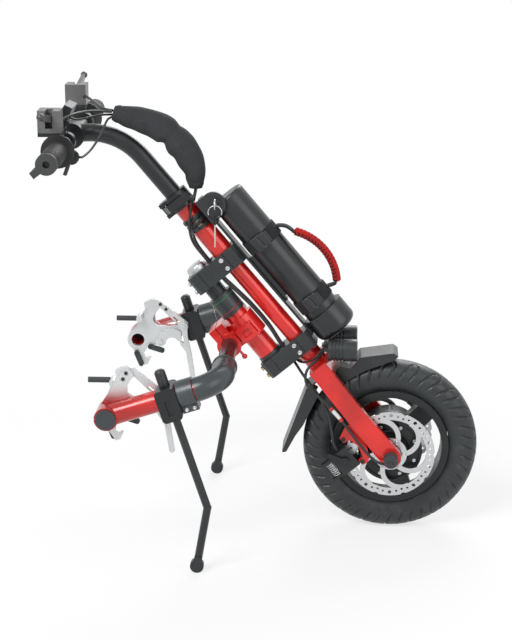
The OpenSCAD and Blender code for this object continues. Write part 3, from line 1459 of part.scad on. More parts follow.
// Stand. Each box is notched as far as a plate of the hook reaches along the arm
function hook_front(shares) = max([for (p = shares)
  p[0] * hook_len * cos(dock_pitch) + p[1] * hook_rise * sin(dock_pitch)]);
function notch_front(shares) = max(-box_len / 2 - over,
  min(box_len / 2 + over, stand_back - arm_len + hook_front(shares) + notch_gap));
module stand_box() {
  slot = leg_eye_d + 2 * leg_slot_gap;
  on_dock() translate([-stand_back, arm_y, 0]) {
    difference() {
      translate([0, 0, (box_up - box_down) / 2]) slab_y(-box_w / 2, box_w / 2)
        round_rect(box_len, box_up + box_down, box_round);
      rotate([0, -90, 0]) cylinder(d = arm_d, h = 2 * box_len, center = true);
      translate([0, box_w / 2, -box_down / 3])
        cube([box_window[0], 2 * box_window[1], box_window[2]], center = true);
      block([-box_len, -slot / 2, -box_down - over],
        [leg_eye_d / 2 + leg_slot_gap, slot / 2, -leg_pivot_drop + leg_eye_d / 2 + leg_slot_gap]);
      cylinder(d = knob_stem_d + 2 * fit_gap, h = box_up + over);
      block([-box_len, -box_w, -box_down - over],
        [notch_front(plate_outline_shares), hook_t - hook_inset + run_gap, box_up + over]);
      block([-box_len, -box_w, -box_down - over],
        [notch_front(gusset_shares), hook_t + gusset_t - hook_inset + run_gap, box_up + over]);
    }
    translate([0, 0, -leg_pivot_drop]) bar_y(leg_pin_d, -slot / 2 - over, slot / 2 + over);
  }
}
module stand_boxes() { color(satin_black) pair() stand_box(); }
module stand_leg() {
  pivot = [pivot_x, arm_y, pivot_z];
  bend = [leg_bend_x, arm_y, leg_bend_z];
  foot = [foot_x, arm_y, roller_d / 2];
  shin = bend - foot;
  ankle = foot + shin * clevis_rise / norm(shin);
  inner = roller_w / 2 + clevis_gap;
  outer = inner + clevis_t;
  color(satin_black) {
    difference() {
      union() {
        translate([pivot_x, arm_y, pivot_z]) bar_y(leg_eye_d, -leg_eye_d / 2, leg_eye_d / 2);
        rod(pivot, bend, leg_d);
        translate(bend) sphere(d = leg_d + knee_bulge);
        rod(bend, ankle, leg_d);
      }
      translate([pivot_x, arm_y, pivot_z]) bar_y(leg_pin_d + 2 * fit_gap, -leg_eye_d, leg_eye_d);
    }
    translate(foot) rotate([0, leg_slant, 0]) {
      for (side = [-1, 1]) translate([0, side * (inner + outer) / 2, clevis_rise / 2 - clevis_t / 2])
        cube([leg_d, clevis_t, clevis_rise + leg_d / 2], center = true);
      translate([0, 0, clevis_rise - clevis_t / 2]) cube([leg_d, 2 * outer, clevis_t * 2], center = true);
      bar_y(roller_pin_d, -outer, outer);
    }
  }
}
module stand_leg_right() { to_right() stand_leg(); }
module stand_leg_left() { stand_leg(); }
module stand_roller() {
  color(rubber_black) translate([foot_x, arm_y, roller_d / 2]) difference() {
    bar_y(roller_d, -roller_w / 2, roller_w / 2);
    bar_y(roller_pin_d + 2 * fit_gap, -roller_w, roller_w);
  }
}
module stand_roller_right() { to_right() stand_roller(); }
module stand_roller_left() { stand_roller(); }
module stand_knob() {
  color(rubber_black) on_dock() translate([-stand_back, arm_y, box_up + run_gap]) {
    rotate_extrude() difference() {
      square([knob_d / 2, knob_h]);
      translate([knob_d / 2 - knob_round, knob_h - knob_round]) difference() {
        square(2 * knob_round);
        circle(knob_round);
      }
    }
    translate([0, 0, -knob_stem_len]) cylinder(d = knob_stem_d, h = knob_stem_len + over);
  }
}
module stand_knob_right() { to_right() stand_knob(); }
module stand_knob_left() { stand_knob(); }

tyre();
rim();
hub_covers();
hub_bearings();
brake_rotors();
rotor_bolts();
axle();
motor_stator();
axle_caps();
fork();
calipers();
caliper_arm_right();
caliper_arm_left();
column_tube();
column_clamps();
clamp_bolts();
spindle();
steering_damper();
fenders();
headlights();
battery_rail();
lock_housing();
key();
key_ring();
battery_case();
battery_cells();
battery_straps();
carry_handle();
handlebar();
stem_collar();
stem_lever();
grips();
brake_perches();
brake_lever_right();
brake_lever_left();
throttle_pod();
throttle_paddle();
display();
power_button();
cable_sleeve();
cables();
head_tube();
headset_bearings();
docking_bracket();
cross_tube();
dock_elbows();
dock_arms();
hook_plates();
hook_pads();
jaw_right();
jaw_left();
release_lever_right();
release_lever_left();
stand_boxes();
stand_leg_right();
stand_leg_left();
stand_roller_right();
stand_roller_left();
stand_knob_right();
stand_knob_left();
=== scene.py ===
"""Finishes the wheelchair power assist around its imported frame: cords, soft goods, trim and paint."""
import json
import math

import bpy
from bpy.props import FloatProperty, FloatVectorProperty, IntProperty, PointerProperty
from mathutils import Matrix, Vector, noise


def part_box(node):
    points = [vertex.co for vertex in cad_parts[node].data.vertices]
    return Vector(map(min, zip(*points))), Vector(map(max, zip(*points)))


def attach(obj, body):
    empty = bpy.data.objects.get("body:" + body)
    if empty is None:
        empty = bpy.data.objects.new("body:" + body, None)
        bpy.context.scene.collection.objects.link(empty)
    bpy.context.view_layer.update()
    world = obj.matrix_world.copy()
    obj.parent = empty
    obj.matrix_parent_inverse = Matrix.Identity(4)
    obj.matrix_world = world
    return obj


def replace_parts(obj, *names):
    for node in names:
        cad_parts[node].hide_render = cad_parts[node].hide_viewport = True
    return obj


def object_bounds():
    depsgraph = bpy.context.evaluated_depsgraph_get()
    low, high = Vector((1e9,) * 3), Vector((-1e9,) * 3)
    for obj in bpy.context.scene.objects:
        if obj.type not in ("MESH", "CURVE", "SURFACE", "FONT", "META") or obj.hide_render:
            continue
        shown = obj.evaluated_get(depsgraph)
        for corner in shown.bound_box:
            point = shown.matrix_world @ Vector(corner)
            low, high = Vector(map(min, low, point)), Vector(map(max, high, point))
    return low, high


bl_info = {
    "name": "Power assist finish",
    "version": (1, 0, 0),
    "blender": (4, 5, 0),
    "location": "View3D > Sidebar > Power assist",
    "description": "Builds the trim, soft goods and paint of a wheelchair power assist",
    "category": "Object",
}

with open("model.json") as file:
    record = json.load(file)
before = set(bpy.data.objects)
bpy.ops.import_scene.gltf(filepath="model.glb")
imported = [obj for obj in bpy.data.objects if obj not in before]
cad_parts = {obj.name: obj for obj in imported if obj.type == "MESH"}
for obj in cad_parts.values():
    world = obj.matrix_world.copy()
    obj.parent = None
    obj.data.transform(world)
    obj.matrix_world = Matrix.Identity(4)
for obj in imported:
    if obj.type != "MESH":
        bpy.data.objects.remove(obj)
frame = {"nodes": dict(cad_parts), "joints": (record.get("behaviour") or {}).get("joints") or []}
CAD_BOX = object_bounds()
JOINTS = {joint["name"]: joint for joint in frame["joints"]}
MM = 0.001

# Marks of the frame that the pieces are placed from
AXLE = Vector(JOINTS["wheel_spin"]["pos_m"])
UP_COLUMN = Vector(JOINTS["steering_turn"]["axis"]).normalized()
if UP_COLUMN.z < 0:
    UP_COLUMN.negate()
ACROSS = Vector((0, 1, 0))
AHEAD = ACROSS.cross(UP_COLUMN)
RAKE = math.atan2(-UP_COLUMN.x, UP_COLUMN.z)
PIVOT_RIGHT = Vector(JOINTS["brake_right"]["pos_m"])
BAR = Vector((PIVOT_RIGHT.x + 14 * MM, 0.0, PIVOT_RIGHT.z - 52 * MM))


def column_place(ahead, across, up):
    """A place given in millimetres ahead of, across and up the column from the axle."""
    return AXLE + MM * (ahead * AHEAD + across * ACROSS + up * UP_COLUMN)


def basis(origin, along, side=None):
    """A placing matrix whose Z runs along a direction."""
    z = Vector(along).normalized()
    x = Vector(side) if side is not None else z.orthogonal()
    y = z.cross(x).normalized()
    x = y.cross(z)
    return Matrix.Translation(origin) @ Matrix((x, y, z)).transposed().to_4x4()


COLUMN = basis(AXLE, UP_COLUMN, AHEAD)
WHEEL = basis(AXLE, ACROSS, (1, 0, 0))


class CameraSizes(bpy.types.PropertyGroup):
    """The photograph's viewpoint and the studio light."""

    lens: FloatProperty(name="Lens", description="Focal length", default=97.65, unit="CAMERA")
    aim: FloatVectorProperty(
        name="Place",
        description="Where the camera stands",
        default=(AXLE.x - 0.0883, -3.016, 1.2667),
        subtype="TRANSLATION",
    )
    azimuth: FloatProperty(
        name="Azimuth", description="Turn of the view", default=math.radians(3), subtype="ANGLE"
    )
    elevation: FloatProperty(
        name="Elevation", description="Dip of the view", default=math.radians(16.2), subtype="ANGLE"
    )
    key: FloatProperty(name="Key lamp", description="Strength of the key lamp in watts", default=95)
    fill: FloatProperty(name="Fill lamp", description="Strength of the fill lamp in watts", default=26)
    back: FloatProperty(name="Back lamp", description="Strength of the back lamp in watts", default=60)
    sky: FloatProperty(name="Sky", description="Strength of the sky on diffuse surfaces", default=0.36)


class TyreSizes(bpy.types.PropertyGroup):
    """Tread of the tyre."""

    grooves: IntProperty(name="Grooves", description="Pairs of grooves on each shoulder", default=22)
    depth: FloatProperty(
        name="Groove depth", description="Depth of a tread groove", default=2.2 * MM, unit="LENGTH"
    )
    width: FloatProperty(
        name="Groove share", description="Share of the pitch that a groove takes", default=0.095
    )
    steps: IntProperty(name="Steps", description="Facets round the tyre", default=1320)


class SoftSizes(bpy.types.PropertyGroup):
    """Sleeve, straps and handle."""

    sleeve_fold: FloatProperty(
        name="Sleeve folds", description="Depth of the sleeve's folds", default=1.3 * MM, unit="LENGTH"
    )
    sleeve_fill: FloatProperty(name="Sleeve fill", description="How full the sleeve is", default=0.6)
    strap_thick: FloatProperty(
        name="Strap thickness", description="Thickness of the webbing", default=2.2 * MM, unit="LENGTH"
    )
    knots: IntProperty(name="Knots", description="Knots along the carry handle", default=19)


class Colours(bpy.types.PropertyGroup):
    """Colours of the finishes, in scene linear values."""

    red: FloatVectorProperty(
        name="Paint", description="Metallic red paint", default=(0.60, 0.016, 0.012), subtype="COLOR"
    )
    black: FloatVectorProperty(
        name="Black coat", description="Satin black coat", default=(0.012, 0.014, 0.015), subtype="COLOR"
    )
    silver: FloatVectorProperty(
        name="Silver", description="Blasted aluminium", default=(0.66, 0.68, 0.69), subtype="COLOR"
    )
    rubber: FloatVectorProperty(
        name="Rubber", description="Tyre rubber", default=(0.023, 0.0275, 0.0295), subtype="COLOR"
    )
    cord_red: FloatVectorProperty(
        name="Cord red", description="Red cord of the handle", default=(0.5, 0.02, 0.018), subtype="COLOR"
    )


# Mesh helpers, with the distance in metres at which places merge and the shares of a screw's head
MERGE = 0.000002
SCREW_SIDES = 24
CHAMFER_SHARE = 0.08
DRIVE_SHARE = 0.56
DRIVE_LIP_SHARE = 0.4
DRIVE_FALL_SHARE = 0.5
DRIVE_FLOOR_SHARE = 0.4


def begin():
    """Leaves edit mode and deselects everything."""
    if bpy.context.object is not None and bpy.context.object.mode != "OBJECT":
        bpy.ops.object.mode_set(mode="OBJECT")
    bpy.ops.object.select_all(action="DESELECT")


def pick(piece):
    """Leaves one piece selected and active."""
    begin()
    piece.select_set(True)
    bpy.context.view_layer.objects.active = piece


def edit_all():
    """Enters edit mode on the active piece with all of it selected."""
    bpy.ops.object.mode_set(mode="EDIT")
    bpy.ops.mesh.select_all(action="SELECT")


def settle(piece, placing):
    """Puts a piece in place and moves its place into its mesh."""
    pick(piece)
    piece.matrix_world = placing @ piece.matrix_world
    bpy.ops.object.transform_apply(location=True, rotation=True, scale=True)
    return piece


def smooth(piece, degrees):
    """Smooth shading that keeps the sharp edges."""
    pick(piece)
    bpy.ops.object.shade_smooth_by_angle(angle=math.radians(degrees))


def mend(piece):
    """Merges doubles and turns the faces outwards."""
    pick(piece)
    edit_all()
    bpy.ops.mesh.remove_doubles(threshold=MERGE)
    bpy.ops.mesh.normals_make_consistent(inside=False)
    bpy.ops.object.mode_set(mode="OBJECT")


def lathe(profile, steps, closed=False):
    """Spins a line of (radius, height) places, in millimetres, about Z."""
    begin()
    bpy.ops.mesh.primitive_plane_add(size=MM, location=(0, 0, 0))
    piece = bpy.context.object
    edit_all()
    bpy.ops.mesh.merge(type="CENTER")
    bpy.ops.transform.translate(value=(profile[0][0] * MM, 0, profile[0][1] * MM))
    line = list(profile) + ([profile[0]] if closed else [])
    for (r0, h0), (r1, h1) in zip(line, line[1:]):
        move = {"value": ((r1 - r0) * MM, 0, (h1 - h0) * MM)}
        bpy.ops.mesh.extrude_region_move(TRANSFORM_OT_translate=move)
    bpy.ops.mesh.select_all(action="SELECT")
    bpy.ops.mesh.spin(steps=steps, angle=2 * math.pi, center=(0, 0, 0), axis=(0, 0, 1))
    bpy.ops.object.mode_set(mode="OBJECT")
    mend(piece)
    return piece


def rounded_block(size, round_by, segments=3):
    """A block of three sizes in millimetres with rounded edges, about the origin."""
    begin()
    bpy.ops.mesh.primitive_cube_add(size=1, location=(0, 0, 0))
    piece = bpy.context.object
    edit_all()
    bpy.ops.transform.resize(value=[side * MM for side in size])
    bpy.ops.mesh.bevel(offset=round_by * MM, segments=segments, affect="EDGES")
    bpy.ops.object.mode_set(mode="OBJECT")
    return piece


def socket_screw(head_d, head_h):
    """A cap screw whose head has a chamfer and a six-sided socket, with its foot at the origin."""
    begin()
    bpy.ops.mesh.primitive_circle_add(vertices=SCREW_SIDES, radius=head_d / 2 * MM, location=(0, 0, 0))
    piece = bpy.context.object
    edit_all()
    chamfer = head_d * CHAMFER_SHARE
    drive = head_d / 2 * DRIVE_SHARE
    sixth = math.pi / 3
    stations = [
        (head_d / 2, head_h - chamfer, False),
        (head_d / 2 - chamfer, head_h, False),
        (drive + chamfer * DRIVE_LIP_SHARE, head_h, True),
        (drive, head_h - chamfer * DRIVE_FALL_SHARE, True),
        (drive, head_h * DRIVE_FLOOR_SHARE, True),
    ]
    for radius, height, six in stations:
        bpy.ops.mesh.extrude_edges_move()
        bpy.ops.object.mode_set(mode="OBJECT")
        for vertex in piece.data.vertices:
            if vertex.select:
                turn = math.atan2(vertex.co.y, vertex.co.x)
                reach = radius
                if six:
                    off = (turn + sixth / 2) % sixth - sixth / 2
                    reach = radius * math.cos(sixth / 2) / math.cos(off)
                vertex.co = Vector((math.cos(turn) * reach, math.sin(turn) * reach, height)) * MM
        bpy.ops.object.mode_set(mode="EDIT")
    bpy.ops.mesh.edge_face_add()
    bpy.ops.object.mode_set(mode="OBJECT")
    mend(piece)
    return piece


def copies(model, placings, name):
    """Copies a model to each placing, each with its own mesh, and joins them as one piece."""
    made = []
    for placing in placings:
        twin = model.copy()
        twin.data = model.data.copy()
        twin.matrix_world = placing
        bpy.context.scene.collection.objects.link(twin)
        made.append(twin)
    bpy.data.objects.remove(model, do_unlink=True)
    return joined(made, name)


def joined(pieces, name):
    """Joins pieces as one, with their places in the mesh."""
    begin()
    for piece in pieces:
        piece.select_set(True)
    bpy.context.view_layer.objects.active = pieces[0]
    bpy.ops.object.transform_apply(location=True, rotation=True, scale=True)
    if len(pieces) > 1:
        bpy.ops.object.join()
    piece = bpy.context.object
    piece.name = name
    piece.data.name = name
    return piece


def dress(piece, name, body, finish, replaced=(), degrees=35):
    """Names a finished piece, gives it its paint and hangs it on its body."""
    piece.name = name
    piece.data.name = name
    piece.data.materials.clear()
    for label in finish if isinstance(finish, (list, tuple)) else [finish]:
        piece.data.materials.append(bpy.data.materials[label])
    if piece.type == "MESH" and degrees:
        smooth(piece, degrees)
    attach(piece, body)
    if replaced:
        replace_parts(piece, *replaced)
    return piece


def grid_piece(name, rows):
    """A mesh from rows of places, closed round each row, with both ends closed."""
    count = len(rows[0])
    last = (len(rows) - 1) * count
    faces = [list(range(count))[::-1], list(range(last, last + count))]
    for i in range(0, last, count):
        for k in range(count):
            a, b = i + k, i + (k + 1) % count
            faces.append((a, b, b + count, a + count))
    mesh = bpy.data.meshes.new(name)
    mesh.from_pydata([tuple(place) for row in rows for place in row], [], faces)
    piece = bpy.data.objects.new(name, mesh)
    bpy.context.scene.collection.objects.link(piece)
    mend(piece)
    return piece


def spline(points, parts):
    """A smooth line through points, with a number of steps between neighbours."""
    ends = [2 * points[0] - points[1]] + list(points) + [2 * points[-1] - points[-2]]
    line = []
    for a, b, c, d in zip(ends, ends[1:], ends[2:], ends[3:]):
        for k in range(parts):
            t = k / parts
            bend = 2 * a - 5 * b + 4 * c - d
            twist = 3 * b - a - 3 * c + d
            line.append(0.5 * (2 * b + (c - a) * t + bend * t * t + twist * t**3))
    return line + [points[-1]]


# Paint and surface effects, with the radius in metres that edges look rounded by
EDGE_ROUND = 0.9 * MM
WORN_LIFT, WORN_SHARE, WORN_ROUGH = 0.06, 1.7, 0.2


def effect(name, inputs, outputs):
    """An empty shader node group with named sockets."""
    tree = bpy.data.node_groups.new(name, "ShaderNodeTree")
    for label, kind, value in inputs:
        socket = tree.interface.new_socket(name=label, in_out="INPUT", socket_type=kind)
        socket.default_value = value
    for label in outputs:
        tree.interface.new_socket(name=label, in_out="OUTPUT", socket_type="NodeSocketFloat")
    return tree, tree.nodes.new("NodeGroupInput"), tree.nodes.new("NodeGroupOutput")


def put(tree, kind, links=(), **values):
    """Adds a node, sets its fields and sockets, and links sockets to it."""
    node = tree.nodes.new(kind)
    for key, value in values.items():
        if hasattr(node, key):
            setattr(node, key, value)
        else:
            node.inputs[key.replace("_", " ")].default_value = value
    for socket, source in links:
        tree.links.new(source, node.inputs[socket])
    return node


def sum_of(tree, operation, first, second):
    """A maths node on two sockets or numbers."""
    node = tree.nodes.new("ShaderNodeMath")
    node.operation = operation
    for place, value in enumerate((first, second)):
        if isinstance(value, (int, float)):
            node.inputs[place].default_value = value
        else:
            tree.links.new(value, node.inputs[place])
    return node.outputs[0]


def ramp(tree, source, low, high, start=0.0, end=1.0):
    """A smooth step of a value between two levels."""
    node = put(
        tree,
        "ShaderNodeMapRange",
        [("Value", source)],
        interpolation_type="SMOOTHSTEP",
        clamp=True,
        From_Min=low,
        From_Max=high,
        To_Min=start,
        To_Max=end,
    )
    return node.outputs["Result"]


def object_place(tree):
    """The socket with a surface's place in its object."""
    return put(tree, "ShaderNodeTexCoord").outputs["Object"]


def cloud(tree, links, **values):
    """The socket of a noise texture's value."""
    return put(tree, "ShaderNodeTexNoise", links, **values).outputs["Fac"]


def seen_directly(tree):
    """A mask of what the camera sees, straight or in a reflection or a lens."""
    ray = tree.nodes.new("ShaderNodeLightPath")
    seen = sum_of(tree, "MAXIMUM", ray.outputs["Is Camera Ray"], ray.outputs["Is Glossy Ray"])
    return sum_of(tree, "MAXIMUM", seen, ray.outputs["Is Transmission Ray"])


def grain_effect():
    """Fine grain for bump, and broad patches for colour and gloss."""
    tree, ins, outs = effect(
        "grain",
        [("Scale", "NodeSocketFloat", 900.0), ("Patch", "NodeSocketFloat", 18.0)],
        ("Height", "Patches"),
    )
    place = object_place(tree)
    fine = cloud(tree, [("Vector", place), ("Scale", ins.outputs["Scale"])], Detail=3.0)
    broad = cloud(tree, [("Vector", place), ("Scale", ins.outputs["Patch"])], Detail=5.0)
    tree.links.new(fine, outs.inputs["Height"])
    tree.links.new(ramp(tree, broad, 0.34, 0.68), outs.inputs["Patches"])


def scuff_effect():
    """Thin rubbed marks that lie in patches."""
    tree, ins, outs = effect("scuffs", [("Scale", "NodeSocketFloat", 60.0)], ("Marks",))
    place = object_place(tree)
    stretched = put(tree, "ShaderNodeMapping", [("Vector", place)], Scale=(1.0, 0.35, 2.2)).outputs[0]
    scale = ins.outputs["Scale"]
    fine = cloud(tree, [("Vector", stretched), ("Scale", scale)], Detail=8.0, Roughness=0.7)
    broad = cloud(tree, [("Vector", place)], Scale=9.0)
    marks = sum_of(tree, "MULTIPLY", ramp(tree, fine, 0.6, 0.72), ramp(tree, broad, 0.5, 0.7))
    tree.links.new(marks, outs.inputs["Marks"])


def weave_effect():
    """Crossed yarns in the plane of two turned axes."""
    tree, ins, outs = effect(
        "weave",
        [("Turn", "NodeSocketVector", (0.0, 0.0, 0.0)), ("Scale", "NodeSocketFloat", 400.0)],
        ("Height", "Yarn"),
    )
    place = object_place(tree)
    turned = put(tree, "ShaderNodeMapping", [("Vector", place), ("Rotation", ins.outputs["Turn"])])
    waves = []
    for way in ("X", "Y", "Z"):
        wave = put(
            tree,
            "ShaderNodeTexWave",
            [("Vector", turned.outputs[0]), ("Scale", ins.outputs["Scale"])],
            bands_direction=way,
            Distortion=0.6,
            Detail=1.0,
        )
        waves.append(wave.outputs["Fac"])
    pair = sum_of(tree, "MULTIPLY", waves[0], waves[2])
    height = sum_of(tree, "MAXIMUM", pair, sum_of(tree, "MULTIPLY", waves[1], waves[2]))
    tree.links.new(height, outs.inputs["Height"])
    tree.links.new(ramp(tree, height, 0.1, 0.8), outs.inputs["Yarn"])


def turned_effect():
    """Fine lines left by a lathe round an axis across the machine."""
    tree, ins, outs = effect(
        "turned lines",
        [("Centre", "NodeSocketVector", (0.0, 0.0, 0.0)), ("Lines", "NodeSocketFloat", 2400.0)],
        ("Height",),
    )
    ends = [(0, object_place(tree)), (1, ins.outputs["Centre"])]
    away = put(tree, "ShaderNodeVectorMath", ends, operation="SUBTRACT").outputs[0]
    flat = put(tree, "ShaderNodeVectorMath", [(0, away)], operation="MULTIPLY")
    flat.inputs[1].default_value = (1.0, 0.0, 1.0)
    reach = put(tree, "ShaderNodeVectorMath", [(0, flat.outputs[0])], operation="LENGTH").outputs["Value"]
    along = sum_of(tree, "MULTIPLY", reach, ins.outputs["Lines"])
    lines = cloud(tree, [("W", along)], noise_dimensions="1D", Scale=1.0, Detail=2.0)
    tree.links.new(lines, outs.inputs["Height"])


def dust_effect():
    """Pale dust that gathers near the floor."""
    tree, ins, outs = effect("floor dust", [("Top", "NodeSocketFloat", 0.3)], ("Dust",))
    place = object_place(tree)
    height = put(tree, "ShaderNodeSeparateXYZ", [("Vector", place)]).outputs["Z"]
    spread = cloud(tree, [("Vector", place)], Scale=46.0, Detail=7.0, Roughness=0.65)
    low = sum_of(tree, "SUBTRACT", 1.0, sum_of(tree, "DIVIDE", height, ins.outputs["Top"]))
    dust = sum_of(tree, "MULTIPLY", ramp(tree, low, 0.0, 1.0), ramp(tree, spread, 0.42, 0.66))
    tree.links.new(dust, outs.inputs["Dust"])


def use(tree, name, **values):
    """Places an effect in a material with its own values."""
    node = tree.nodes.new("ShaderNodeGroup")
    node.node_tree = bpy.data.node_groups[name]
    for key, value in values.items():
        node.inputs[key].default_value = value
    return node


def mix_colours(tree, mask, first, second):
    """A colour between two colours or sockets by a mask."""
    node = tree.nodes.new("ShaderNodeMix")
    node.data_type = "RGBA"
    tree.links.new(mask, node.inputs["Factor"])
    for label, value in (("A", first), ("B", second)):
        socket = [s for s in node.inputs if s.name == label and s.type == "RGBA"][0]
        if isinstance(value, (tuple, list)):
            socket.default_value = (*value[:3], 1.0)
        else:
            tree.links.new(value, socket)
    return [s for s in node.outputs if s.type == "RGBA"][0]


def times(colour, share):
    """A colour made lighter or darker."""
    return tuple(min(1.0, channel * share) for channel in colour[:3])


def new_finish(name, metallic=0.0, coat=0.0, coat_rough=0.06, sheen=0.0, specular=0.5):
    """A material with a Principled shader and its plain values."""
    material = bpy.data.materials.new(name)
    material.use_nodes = True
    tree = material.node_tree
    tree.nodes.clear()
    out = tree.nodes.new("ShaderNodeOutputMaterial")
    shader = tree.nodes.new("ShaderNodeBsdfPrincipled")
    tree.links.new(shader.outputs[0], out.inputs["Surface"])
    for label, value in (
        ("Metallic", metallic),
        ("Coat Weight", coat),
        ("Coat Roughness", coat_rough),
        ("Sheen Weight", sheen),
        ("Specular IOR Level", specular),
    ):
        shader.inputs[label].default_value = value
    return tree, shader


def bump(tree, shader, height, strength, distance=0.6 * MM):
    """Feeds a height to the shader's normal, over edges that look slightly rounded."""
    edge = put(tree, "ShaderNodeBevel", samples=4, Radius=EDGE_ROUND)
    node = put(
        tree,
        "ShaderNodeBump",
        [("Height", height), ("Normal", edge.outputs["Normal"])],
        Strength=strength,
        Distance=distance,
    )
    tree.links.new(node.outputs["Normal"], shader.inputs["Normal"])


def coated(name, colour, rough, grain, patch, strength, contrast=0.24, marks=0.0, **shine):
    """A painted, moulded or blasted finish with grain, patches and rubbed marks."""
    tree, shader = new_finish(name, **shine)
    surface = use(tree, "grain", Scale=grain, Patch=patch)
    patches = surface.outputs["Patches"]
    tint = mix_colours(tree, patches, times(colour, 1 - contrast / 2), times(colour, 1 + contrast / 2))
    gloss = ramp(tree, patches, 0.0, 1.0, rough[0], rough[1])
    if marks:
        worn = sum_of(tree, "MULTIPLY", use(tree, "scuffs").outputs["Marks"], marks)
        bare = times([channel + WORN_LIFT for channel in colour], WORN_SHARE)
        tint = mix_colours(tree, worn, tint, bare)
        gloss = sum_of(tree, "ADD", gloss, sum_of(tree, "MULTIPLY", worn, WORN_ROUGH))
    tree.links.new(tint, shader.inputs["Base Color"])
    tree.links.new(gloss, shader.inputs["Roughness"])
    bump(tree, shader, surface.outputs["Height"], strength)
    return tree, shader


def repaint(tree, shader, mask, colour):
    """Lays a second colour over the first where a mask says."""
    socket = shader.inputs["Base Color"]
    tree.links.new(mix_colours(tree, mask, socket.links[0].from_socket, colour), socket)


def height_mask(tree, low, high):
    """A mask that rises between two heights, in metres."""
    parts = put(tree, "ShaderNodeSeparateXYZ", [("Vector", object_place(tree))])
    return ramp(tree, parts.outputs["Z"], low, high)


# The calipers' bright coil: its place on the column in millimetres, and its half length and edge in metres
COIL_PLACE = (-86.4, 0, 46)
COIL_HALF = 15 * MM
COIL_EDGE = 0.2 * MM
# Faces of the docking frame across the machine, in metres
PLATE_IN, PAD_IN, PLATE_OUT, GUSSET_OUT = 0.210, 0.2026, 0.218, 0.226


